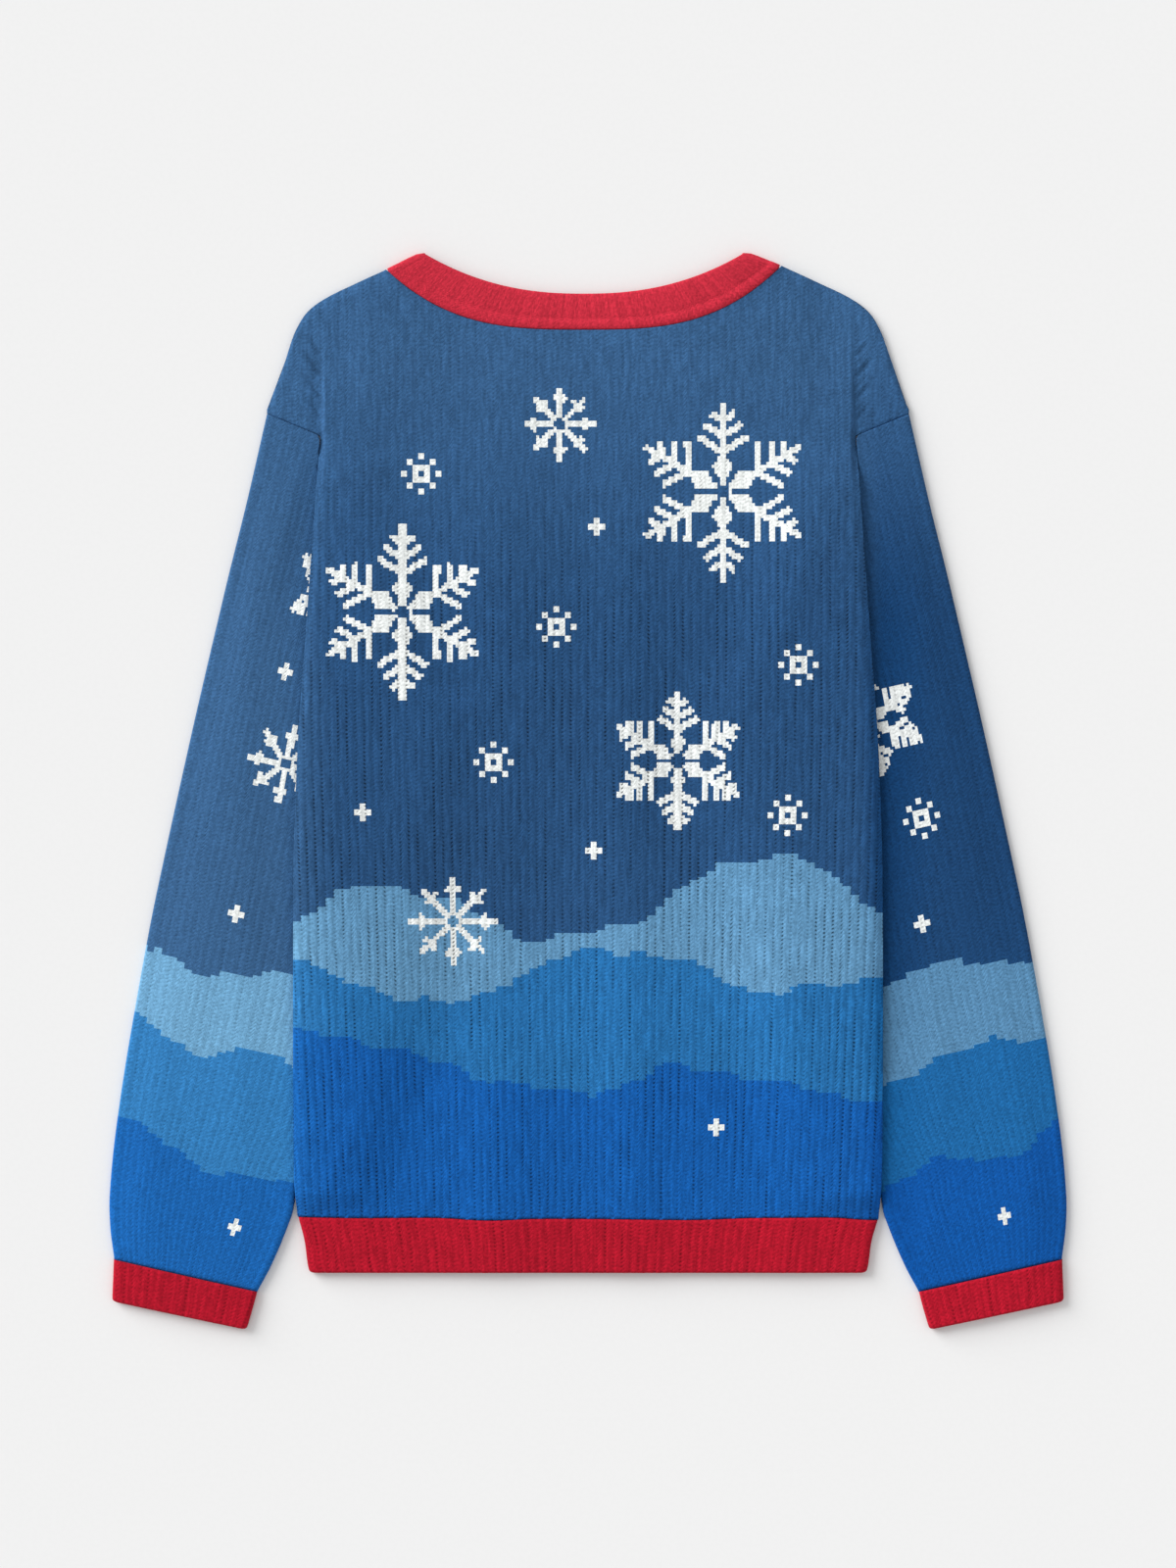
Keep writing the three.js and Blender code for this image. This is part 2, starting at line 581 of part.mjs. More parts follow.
// The neckband is a ring of sections: over the back, round one shoulder fold, along the front
// below it and round the other fold. `turn` goes from 0 on the back to 1 on the front.
function neckband() {
  const foldRadius = (NECKBAND + SEAM) / 2;
  const middleZ = NECKBAND + SEAM / 2;
  const edgePoint = (backEdge, frontEdge, half, endY, turn, s) => {
    const x = NECK_X + s * half;
    const [a, b] = [backEdge, frontEdge].map((edge) => bowlY(edge, half, endY(x), x));
    return new THREE.Vector2(x, mix(a, b, turn ** 2));
  };
  const section = (s, turn, ribbed) => {
    const seam = edgePoint(BACK_SEAM, FRONT_SEAM, NECK_SEAM_HALF, seamEndY, turn, s * NECK_FOLD.seam);
    const top = edgePoint(BACK_TOP, FRONT_TOP, NECK_TIP_HALF, () => NECK_TIP_Y, turn, s * NECK_FOLD.top);
    const across = top.clone().sub(seam);
    const outwards = new THREE.Vector2(across.y, -across.x).normalize();
    if (outwards.x * s < 0) outwards.negate();
    const sag = turn === 0 ? NECK_SAG * (1 - smooth(Math.abs(s) / 0.75)) : 0;
    const lean = Math.PI * turn;
    return NECK_SECTION.map((at) => {
      const w = mix(NECK_CLEAR / across.length(), 1, at.w);
      const atFold = TIP.full - TIP.drop * (Math.max(0, at.w - TIP.from) / (1 - TIP.from)) ** 2;
      const folded = mix(at.h, at.h < 0.5 ? Math.min(at.h, atFold) : atFold, Math.sin(lean));
      const h = turn === 1 && at.h > 0.7 ? 1 : folded;
      const reach = foldRadius + (h * NECKBAND) / 2 + (at.ribbed && ribbed ? NECK_RISE : 0);
      const flat = seam.clone().addScaledVector(across, w).addScaledVector(outwards, reach * Math.sin(lean));
      return [flat.x, flat.y, middleZ + reach * Math.cos(lean) - sag];
    });
  };
  const stations = (count, way) =>
    Array.from({ length: count + 1 }, (_, i) => {
      const angle = NECK_SPREAD * mix(-way, way, i / count);
      return Math.sin(angle) / Math.sin(NECK_SPREAD);
    });
  const rings = [
    ...stations(2 * NECK_RIBS, 1).map((s, i) => section(s, 0, i % 2 === 1)),
    ...FOLD_STEPS.map((turn) => section(1, turn, false)),
    ...stations(NECK_PLAIN_STATIONS, -1).map((s) => section(s, 1, false)),
    ...[...FOLD_STEPS].reverse().map((turn) => section(-1, turn, false)),
  ];
  const wall = new Wall();
  wall.loop(rings);
  return wall.mesh("neckband", RED);
}

// The same piece on the other side of the body.
function mirrored(made, side) {
  if (side < 0) {
    made.geometry.scale(-1, 1, 1);
    const index = made.geometry.index.array;
    for (let i = 0; i < index.length; i += 3) {
      [index[i + 1], index[i + 2]] = [index[i + 2], index[i + 1]];
    }
  }
  return made;
}

const SIDES = [
  ["left", -1],
  ["right", 1],
];
const sweater = new THREE.Group();
sweater.add(front(), back());
for (const [word, side] of SIDES) {
  sweater.add(sleeve(`sleeve_${word}`, side), cuff(`cuff_${word}`, side));
}
sweater.add(hemBand(), neckband());

export default sweater;
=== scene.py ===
"""Dresses a Christmas sweater in ribbed knit, laid flat with its back upwards.

Sizes and heights are in millimetres in the sweater's own frame: X across the body, Y from hem to
neck, Z up from the surface it lies on. They become metres where a mesh is made.
"""
import logging
import math
from dataclasses import dataclass, replace
from enum import Enum

import bpy
import numpy as np
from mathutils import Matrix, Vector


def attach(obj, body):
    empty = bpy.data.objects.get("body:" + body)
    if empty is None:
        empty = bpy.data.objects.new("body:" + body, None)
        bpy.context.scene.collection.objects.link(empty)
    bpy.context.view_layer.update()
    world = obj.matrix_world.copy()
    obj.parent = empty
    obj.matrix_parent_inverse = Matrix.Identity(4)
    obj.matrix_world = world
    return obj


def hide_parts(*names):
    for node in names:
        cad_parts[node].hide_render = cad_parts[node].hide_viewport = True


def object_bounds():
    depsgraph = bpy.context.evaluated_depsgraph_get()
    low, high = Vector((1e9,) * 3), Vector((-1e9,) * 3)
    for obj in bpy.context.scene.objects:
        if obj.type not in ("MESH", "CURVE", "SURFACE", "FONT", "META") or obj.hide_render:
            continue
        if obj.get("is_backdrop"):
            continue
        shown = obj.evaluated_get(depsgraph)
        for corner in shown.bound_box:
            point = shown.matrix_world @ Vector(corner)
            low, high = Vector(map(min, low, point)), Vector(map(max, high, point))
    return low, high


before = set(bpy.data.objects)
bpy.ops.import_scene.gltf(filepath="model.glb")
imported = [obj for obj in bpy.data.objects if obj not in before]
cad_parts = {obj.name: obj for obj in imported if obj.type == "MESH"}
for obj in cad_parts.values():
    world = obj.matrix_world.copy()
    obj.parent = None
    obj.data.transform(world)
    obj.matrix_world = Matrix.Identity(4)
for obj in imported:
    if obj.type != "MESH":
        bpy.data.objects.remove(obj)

log = logging.getLogger("sweater")
CAD_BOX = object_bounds()
MM = 0.001  # a millimetre in metres
SEAM = 0.3  # between two pieces that are sewn together
CHART_ROW = 2.1  # the height of a pattern's square, or a little less
STITCH = 2.8  # the height of a row of stitches
RIB_ROUND = 0.7  # the power that makes a rib's section fuller than a sine
NUDGE = 1e-6  # keeps what lies on a square's edge in that square
NO_LENGTH = 1e-9  # stands for the length of a line that has none
Array = np.ndarray
Colour = tuple[float, float, float]
Change = tuple[float, float, float, float]  # two places, and the value at each


def smooth(t: Array) -> Array:
    """Returns t eased from 0 to 1, and held at each end."""
    t = np.clip(t, 0.0, 1.0)
    return t * t * (3.0 - 2.0 * t)


def mix(a: Array, b: Array, t: Array) -> Array:
    """Returns the value a share t of the way from a to b."""
    return a + (b - a) * t


@dataclass(frozen=True)
class Profile:
    """A smooth curve through a short table, which doesn't overshoot its values.

    Args:
        at: the places, in rising order.
        value: the value at each place.
    """

    at: tuple[float, ...]
    value: tuple[float, ...]

    def __call__(self, x: Array) -> Array:
        """Returns the curve's values at x, held at both ends.

        Args:
            x: the places.

        Returns:
            The curve's values.
        """
        at, value = np.array(self.at, float), np.array(self.value, float)
        x = np.clip(np.asarray(x, float), at[0], at[-1])
        slope = np.diff(value) / np.diff(at)
        before, after = slope[:-1], slope[1:]
        bends = before * after
        safe = np.where(bends > 0, before + after, 1.0)
        knot = np.concatenate([slope[:1], np.where(bends > 0, 2 * bends / safe, 0.0), slope[-1:]])
        i = np.clip(np.searchsorted(at, x, side="right") - 1, 0, len(slope) - 1)
        span = at[i + 1] - at[i]
        t = (x - at[i]) / span
        return (
            (2 * t**3 - 3 * t**2 + 1) * value[i]
            + (t**3 - 2 * t**2 + t) * span * knot[i]
            + (3 * t**2 - 2 * t**3) * value[i + 1]
            + (t**3 - t**2) * span * knot[i + 1]
        )


@dataclass(frozen=True)
class Ease:
    """A smooth step from 0 to 1.

    Args:
        start: where it begins.
        width: how far on it ends.
    """

    start: float
    width: float

    def __call__(self, x: Array) -> Array:
        """Returns the step's values at x."""
        return smooth((x - self.start) / self.width)


class Yarn(Enum):
    """The yarns of the knit, in the order of the colour ramp."""

    NIGHT = 0
    PALE = 1
    MID = 2
    DEEP = 3
    SNOW = 4

    @property
    def mark(self) -> float:
        """Where the yarn's colour lies on the ramp, from 0 to 1."""
        return (self.value + 0.5) / len(Yarn)


@dataclass(frozen=True)
class Flake:
    """A snowflake knitted square by square: arms with a petal each and pairs of twigs.

    Args:
        x: its middle across the piece.
        y: its middle along the piece.
        radius: the length of an arm.
        arms: how many arms it has.
        twigs: where each pair of twigs leaves the arm and how long they are, as shares of the arm.
        width: the width of an arm and of a twig.
        heart: the radius of the open middle.
        petal: half the width of the diamond on the inner part of each arm.
        petal_at: where the diamond's middle lies, as a share of the arm.
        petal_reach: half its length, as a share of the arm.
        lean: the angle between an arm and its twigs.
    """

    x: float
    y: float
    radius: float
    arms: int
    twigs: tuple[tuple[float, float], ...]
    width: float = 4.6
    heart: float = 5.0
    petal: float = 0.0
    petal_at: float = 0.27
    petal_reach: float = 0.18
    lean: float = math.radians(58)

    def covers(self, x: Array, y: Array) -> Array:
        """Returns which of the places are on the flake.

        Args:
            x: the places across.
            y: the places along.

        Returns:
            True where a place is on it.
        """
        dx, dy = x - self.x, y - self.y
        sector = 2 * math.pi / self.arms
        turn = np.arctan2(dx, dy)
        turn = np.abs((turn + sector / 2) % sector - sector / 2)
        distance = np.hypot(dx, dy)
        out, off = distance * np.cos(turn), distance * np.sin(turn)
        on = (off < self.width / 2) & (out < self.radius) & (distance > self.heart)
        on |= off < self.petal * (1 - np.abs(out / self.radius - self.petal_at) / self.petal_reach)
        for share, reach in self.twigs:
            foot, length = out - share * self.radius, reach * self.radius
            along = foot * math.cos(self.lean) + off * math.sin(self.lean)
            aside = np.abs(off * math.cos(self.lean) - foot * math.sin(self.lean))
            on |= (aside < self.width / 2) & (along > 0) & (along < length)
        return on


@dataclass(frozen=True)
class Chart:
    """A small motif, charted.

    Args:
        x: its middle across the piece.
        y: its middle along the piece.
        rows: the same upside down, with # for the motif.
        span: how many squares of the knit one mark covers each way.
    """

    x: float
    y: float
    rows: tuple[str, ...]
    span: int = 2

    def stamp(self, marks: Array, x: Array, y: Array) -> None:
        """Knits the motif into a grid of marks.

        Args:
            marks: the marks, changed in place.
            x: the place of each across the piece.
            y: the place of each along the piece.
        """
        away = np.hypot(x - self.x, y - self.y)
        if away.min() > 2 * CHART_ROW:
            return
        cells = np.array([[mark == "#" for mark in row] for row in self.rows])
        up, over = np.nonzero(np.kron(cells, np.ones((self.span, self.span))))
        row, column = np.unravel_index(np.argmin(away), away.shape)
        half = len(cells) * self.span // 2
        up, over = up + row - half, over + column - half
        kept = (up >= 0) & (up < marks.shape[0]) & (over >= 0) & (over < marks.shape[1])
        marks[up[kept], over[kept]] = Yarn.SNOW.mark


CRYSTAL = (
    "...#...",
    ".#...#.",
    "..###..",
    "#.#.#.#",
    "..###..",
    ".#...#.",
    "...#...",
)
SPARK = (".#.", "###", ".#.")


def fern(x: float, y: float, radius: float, petal: float) -> Flake:
    """Returns a large snowflake of six arms like fern leaves.

    Args:
        x: its middle across the piece.
        y: its middle along the piece.
        radius: the length of an arm.
        petal: half the width of the diamond on each arm.

    Returns:
        The snowflake.
    """
    twigs = ((0.44, 0.33), (0.62, 0.25), (0.79, 0.16))
    return Flake(x, y, radius, arms=6, twigs=twigs, petal=petal)


def star(x: float, y: float, radius: float) -> Flake:
    """Returns a smaller snowflake of eight plain arms."""
    return Flake(x, y, radius, arms=8, twigs=((0.64, 0.2),), width=4.0, heart=4.0)


@dataclass(frozen=True)
class Pattern:
    """What a piece is knitted in: drifts of three blues below a night sky with snowflakes.

    Args:
        drifts: each yarn below its top edge, the upper edges first.
        flakes: the larger snowflakes.
        charts: the small ones.
        step: the width and height of the drifts' steps.
        wander: how far the drifts' edges stray from their lines.
        waves: the sizes of the two waves that they stray by.
    """

    drifts: tuple[tuple[Yarn, Profile], ...]
    flakes: tuple[Flake, ...]
    charts: tuple[Chart, ...]
    step: tuple[float, float] = (6.0, 3.15)
    wander: float = 3.6
    waves: tuple[float, float] = (8.5, 23.0)

    def marks(self, x: Array, y: Array) -> Array:
        """Returns the ramp mark of the yarn at each place.

        Args:
            x: the places across.
            y: the places along.

        Returns:
            The marks, from 0 to 1.
        """
        made = np.full(np.shape(x), Yarn.NIGHT.mark)
        step_x, step_y = self.step
        short, long = self.waves
        middle = (np.floor(x / step_x) + 0.5) * step_x
        for k, (yarn, edge) in enumerate(self.drifts):
            wander = self.wander * np.sin(middle / short + 2 * k) * np.sin(middle / long + k)
            top = np.round((edge(middle) + wander) / step_y) * step_y
            made = np.where(y < top, yarn.mark, made)
        for flake in self.flakes:
            made = np.where(flake.covers(x, y), Yarn.SNOW.mark, made)
        for chart in self.charts:
            chart.stamp(made, x, y)
        return made


@dataclass(frozen=True)
class Crease:
    """A soft ridge or, with a negative rise, a trough along a straight line in plan.

    Args:
        x: where it starts, across.
        y: where it starts, along.
        to_x: where it ends, across.
        to_y: where it ends, along.
        rise: how high it stands.
        width: how far its sides reach.
        fade_in: the share of its length over which it comes up.
        fade_out: the share over which it goes.
    """

    x: float
    y: float
    to_x: float
    to_y: float
    rise: float
    width: float
    fade_in: float = 0.25
    fade_out: float = 0.45

    def height(self, x: Array, y: Array) -> Array:
        """Returns how much the crease lifts the cloth at each place.

        Args:
            x: the places across.
            y: the places along.

        Returns:
            The lift at each place.
        """
        run_x, run_y = self.to_x - self.x, self.to_y - self.y
        length = math.hypot(run_x, run_y)
        share = ((x - self.x) * run_x + (y - self.y) * run_y) / length**2
        off = ((x - self.x) * run_y - (y - self.y) * run_x) / length
        fade = smooth(share / self.fade_in) * smooth((1 - share) / self.fade_out)
        return self.rise * fade * np.exp(-((off / self.width) ** 2))


class Shell:
    """One closed wall of knit, gathered from skins of points and the rims between them.

    Points less than about `merge` millimetres apart become one.
    """

    merge = 0.02

    def __init__(self) -> None:
        """Starts with no points."""
        self.points: list[Array] = []
        self.uvs: list[Array] = []
        self.crease_shades: list[Array] = []
        self.faces: list[Array] = []
        self.marks: list[Array] = []
        self.count = 0

    def skin(self, points: Array, uv: Array, marks: Array, up: bool = True,
             crease_shade: Array | float = 0.0) -> Array:
        """Adds a grid of points and its faces.

        Args:
            points: rows of places, shaped (rows, columns, 3).
            uv: the knit's own place of each point, in ribs and stitch rows.
            marks: the ramp mark of each face.
            up: whether the faces look up where the columns run to the right.
            crease_shade: how deep in a crease each point lies, 0 to 1, which sets the painted shade there.

        Returns:
            The numbers of the points, in the same rows.
        """
        rows, columns = points.shape[:2]
        numbers = self.count + np.arange(rows * columns).reshape(rows, columns)
        self.count += rows * columns
        self.points.append(points.reshape(-1, 3))
        self.uvs.append(uv.reshape(-1, 2))
        self.crease_shades.append(np.broadcast_to(crease_shade, (rows, columns)).reshape(-1))
        corners = [numbers[:-1, :-1], numbers[:-1, 1:], numbers[1:, 1:], numbers[1:, :-1]]
        if not up:
            corners = [corners[0], corners[3], corners[2], corners[1]]
        self.faces.append(np.stack(corners, axis=-1).reshape(-1, 4))
        self.marks.append(np.broadcast_to(marks, corners[0].shape).reshape(-1))
        return numbers

    def rim(self, a: Array, b: Array, mark: float, flip: bool = False) -> None:
        """Joins two lines of points that run beside each other.

        Args:
            a: the numbers of the points of the first line.
            b: the numbers of the points of the second line.
            mark: the ramp mark of the faces.
            flip: whether the faces look the other way.
        """
        places = np.concatenate(self.points)
        shares = []
        for line in (a, b):
            steps = np.linalg.norm(np.diff(places[line][:, :2], axis=0), axis=1)
            whole = np.concatenate([[0.0], np.cumsum(steps)])
            shares.append(whole / max(whole[-1], NO_LENGTH))
        i = j = 0
        made = []
        while i < len(a) - 1 or j < len(b) - 1:
            forward = j == len(b) - 1 or (i < len(a) - 1 and shares[0][i + 1] <= shares[1][j + 1])
            if forward:
                made.append((a[i], a[i + 1], b[j], b[j]))
                i += 1
            else:
                made.append((a[i], b[j + 1], b[j], b[j]))
                j += 1
        faces = np.array(made)
        self.faces.append(faces[:, [0, 2, 1, 1]] if flip else faces)
        self.marks.append(np.full(len(faces), mark))

    def piece(self, name: str, finish: bpy.types.Material) -> bpy.types.Object:
        """Makes the piece's object, with its points merged where skins meet.

        Args:
            name: the piece's name.
            finish: its material.

        Returns:
            The finished object.
        """
        mesh = bpy.data.meshes.new(name)
        places = np.concatenate(self.points) * MM
        keys = np.round(places / (self.merge * MM)).astype(np.int64)
        _, keep, where = np.unique(keys, axis=0, return_index=True, return_inverse=True)
        where = where.reshape(-1)
        uv, crease_shade = np.concatenate(self.uvs), np.concatenate(self.crease_shades)
        corners, spots, marks, crease_shades = [], [], [], []
        for face, mark in zip(np.concatenate(self.faces), np.concatenate(self.marks)):
            merged = where[face]
            loop = [k for k in range(4) if merged[k] != merged[(k + 1) % 4]]
            if len(loop) < 3 or len(set(merged[loop])) < 3:
                continue
            corners.append(merged[loop].tolist())
            spots.extend(uv[face[loop]])
            marks.extend([mark] * len(loop))
            crease_shades.extend(crease_shade[face[loop]])
        mesh.from_pydata(places[keep].tolist(), [], corners)
        mesh.uv_layers.new(name="knit").data.foreach_set("uv", np.array(spots).reshape(-1))
        for key, values in (("yarn", marks), ("crease_shade", crease_shades)):
            mesh.attributes.new(key, "FLOAT", "CORNER").data.foreach_set("value", np.array(values))
        mesh.shade_smooth()
        mesh.validate()
        made = bpy.data.objects.new(name, mesh)
        bpy.context.scene.collection.objects.link(made)
        mesh.materials.append(finish)
        return made


def rib_height(ribs: Array) -> Array:
    """Returns the height of the knit at places counted in ribs: 0 in a valley, 1 on a crest."""
    return np.abs(np.sin(math.pi * ribs)) ** RIB_ROUND


@dataclass(frozen=True)
class NeckEdge:
    """A bowl-shaped neck edge: it rises from its low point as a power of the way out.

    Args:
        low: the level of its lowest point.
        power: how late it rises on the way out.
    """

    low: float
    power: float


@dataclass(frozen=True)
class Cut:
    """The sweater's cut and how it lies, shared by its pieces.

    Args:
        knit: the thickness of one layer of the body.
        hem_seam_y: the level of the hem's seam.
        corner_x: how far out the armhole corner is.
        corner_y: its level.
        shoulder_end_x: how far out the shoulder seam ends.
        shoulder_end_y: the level of that end.
        neck_x: the middle of the neck.
        neck_seam_half: half the width of the neck's seam.
        back_seam: the back's neck edge.
        front_seam: the front's neck edge.
        over_sleeve: how high the body climbs on to a sleeve.
        climb: the width of the front's slope.
        back_climb: the width of the back's slope.
        climb_ends: how far before the sleeve's edge it is over.
        above_hem: how the climb begins above the hem.
        by_corner: how it ends below the armhole corner.
        crown: the air at the middle of the body.
        crown_top: how far above the shoulder's end it is gone.
        crown_fade: the height over which it goes.
        fullness: the power that keeps it full to the sides.
        shoulder_widens: how it widens on to the shoulders.
        over_neckband: the air over the neckband's front.
        by_neck: how the back rises to it.
        past_neck: how it sinks beside the neck.
        ledge_rise: the height of the step above the armhole corner.
        ledge_begins: how it comes up outwards.
        ledge_ends: how it drops at the corner.
        ledge_fades: how it goes upwards.
        hidden_from: the level from which a sleeve's hidden edge is used.
        side: half the body's width by level.
        shoulder: the shoulder's level by the distance out.
        sleeve_outer: a sleeve's outer edge by level.
        sleeve_inner: its hidden edge by level.
        armhole: the same beside the armhole.
        hem_wave: how the hem's seam waves.
        wave_fades: how that wave goes upwards.
        folds: the long soft folds down the body.
    """

    knit: float = 2.0
    hem_seam_y: float = -304.2
    corner_x: float = 191.0
    corner_y: float = 254.0
    shoulder_end_x: float = 229.0
    shoulder_end_y: float = 269.6
    neck_x: float = -3.0
    neck_seam_half: float = 141.0
    back_seam: NeckEdge = NeckEdge(329.2, 3.1)
    front_seam: NeckEdge = NeckEdge(278.0, 2.6)
    over_sleeve: float = 5.8
    climb: float = 30.0
    back_climb: float = 56.0
    climb_ends: float = 16.0
    above_hem: Ease = Ease(hem_seam_y, 20)
    by_corner: Ease = Ease(216, 34)
    crown: float = 1.0
    crown_top: float = 90.0
    crown_fade: float = 100.0
    fullness: int = 4
    shoulder_widens: Ease = Ease(corner_y, 40)
    over_neckband: float = 2.0
    by_neck: Ease = Ease(236, 52)
    past_neck: Ease = Ease(10, 25)
    ledge_rise: float = 2.4
    ledge_begins: Ease = Ease(120, 55)
    ledge_ends: Ease = Ease(-4, 4)
    ledge_fades: Ease = Ease(268, 56)
    hidden_from: float = -299.3
    side: Profile = Profile(
        at=(-304.2, -270, -170, -65, 30, 117, 180, 254),
        value=(207.2, 209.4, 210, 209.8, 206.8, 200.7, 196.2, 191),
    )
    shoulder: Profile = Profile(
        at=(110, 143.5, 166.6, 181.7, 193.6, 201.3, 209.3, 216.3, 225, 229),
        value=(388.2, 372.4, 362, 355, 347.9, 341, 327.3, 306.3, 281, 272.6),
    )
    sleeve_outer: Profile = Profile(
        at=(-333.2, -310, -288.8, -239.8, -169.8, -64.8, 40.3, 145.3, 215.3, 269),
        value=(338.1, 341, 341.4, 336.7, 325.9, 306.3, 283.2, 258.7, 241.5, 229.2),
    )
    sleeve_inner: Profile = Profile(
        at=(-356.3, -337.8, -309.8, -299.3, -286, -240, -170, -90, -10, 60),
        value=(235.9, 226, 214.2, 210.6, 208.5, 187, 166, 152, 141, 132),
    )
    armhole: Profile = Profile(at=(60, 120, 188, 216), value=(132, 161, 188, 196.2))
    hem_wave: Profile = Profile(
        at=(-205, -164, -111, -70, -35, 29, 70, 123, 170, 199),
        value=(1.1, 0.5, 0.7, -1.1, 0.0, -0.2, -0.9, 0.7, 0.9, -1.0),
    )
    wave_fades: Ease = Ease(hem_seam_y, 24)
    folds: tuple[Crease, ...] = (
        Crease(-168, -420, -160, 230, 1.0, 20, 0.05, 0.35),
        Crease(-70, -420, -64, 330, 2.0, 26, 0.05, 0.4),
        Crease(32, -420, 26, 330, 2.1, 22, 0.05, 0.4),
        Crease(147, -420, 138, 310, 1.8, 24, 0.05, 0.4),
    )

    def shoulder_y(self, x: Array) -> Array:
        """Returns the shoulder line's height in plan."""
        return self.shoulder(np.abs(x))

    def neck_y(self, edge: NeckEdge, x: Array) -> Array:
        """Returns a panel's neck edge in plan.

        Args:
            edge: the neck edge.
            x: the places across.

        Returns:
            The edge's level at each place.
        """
        end = self.shoulder_y(self.neck_x + np.sign(x - self.neck_x) * self.neck_seam_half)
        way = np.clip(np.abs(x - self.neck_x) / self.neck_seam_half, 0, 1)
        return edge.low + (end - edge.low) * way**edge.power

    def top_y(self, edge: NeckEdge, x: Array) -> Array:
        """Returns a panel's whole top edge in plan."""
        at_neck = np.abs(x - self.neck_x) < self.neck_seam_half
        return np.where(at_neck, self.neck_y(edge, x), self.shoulder_y(x))

    def foot_y(self, x: Array) -> Array:
        """Returns the shoulder seam in plan, out from the armhole corner."""
        way = (np.abs(x) - self.corner_x) / (self.shoulder_end_x - self.corner_x)
        return mix(self.corner_y, self.shoulder_end_y, np.clip(way, 0, 1))

    def side_x(self, y: Array) -> Array:
        """Returns half the body's width at a height in plan."""
        return self.side(np.clip(y, self.hem_seam_y, self.corner_y))

    def hidden_edge(self, y: Array) -> Array:
        """Returns how far out from the middle a sleeve's hidden side lies."""
        below = self.sleeve_inner(np.maximum(y, self.hidden_from))
        return np.where(y <= self.armhole.at[0], below, self.armhole(y))

    def on_to_sleeve(self, x: Array, y: Array, climb: float) -> Array:
        """Returns the climb on to each sleeve, for a slope of a given width.

        Args:
            x: the places across.
            y: the places along.
            climb: the width of its slope.

        Returns:
            The height of the climb.
        """
        start = self.hidden_edge(y) - climb - self.climb_ends
        slope = smooth((np.abs(x) - start) / climb)
        return self.over_sleeve * slope * self.above_hem(y) * (1 - self.by_corner(y))

    def front_under(self, x: Array, y: Array) -> Array:
        """Returns the underside of the front: on the surface, and climbing on to each sleeve."""
        return self.on_to_sleeve(x, y, self.climb)

    def air(self, x: Array, y: Array) -> Array:
        """Returns the air between the front and the back.

        Args:
            x: the places across.
            y: the places along.

        Returns:
            The height of the air.
        """
        half = self.side_x(y) + (self.shoulder_end_x - self.corner_x) * self.shoulder_widens(y)
        across = 1 - np.clip(np.abs(x) / half, 0, 1) ** self.fullness
        crown = self.crown * smooth((self.shoulder_end_y + self.crown_top - y) / self.crown_fade)
        folds = sum(fold.height(x, y) for fold in self.folds)
        past_neck = self.past_neck(np.abs(x - self.neck_x) - self.neck_seam_half)
        at_neck = self.over_neckband * self.by_neck(y) * (1 - past_neck)
        return SEAM + np.maximum((crown + folds) * across, at_neck)

    def ledge(self, x: Array, y: Array) -> Array:
        """Returns the step left where the body's edge runs on above the armhole corner.

        Args:
            x: the places across.
            y: the places along.

        Returns:
            The height of the step.
        """
        out = np.abs(x)
        beside = self.ledge_begins(out) * (1 - self.ledge_ends(out - self.corner_x))
        return self.ledge_rise * self.by_corner(y) * (1 - self.ledge_fades(y)) * beside

    def back_under(self, x: Array, y: Array) -> Array:
        """Returns the underside of the back."""
        climb = self.on_to_sleeve(x, y, self.back_climb)
        return climb + self.knit + self.air(x, y) + self.ledge(x, y)


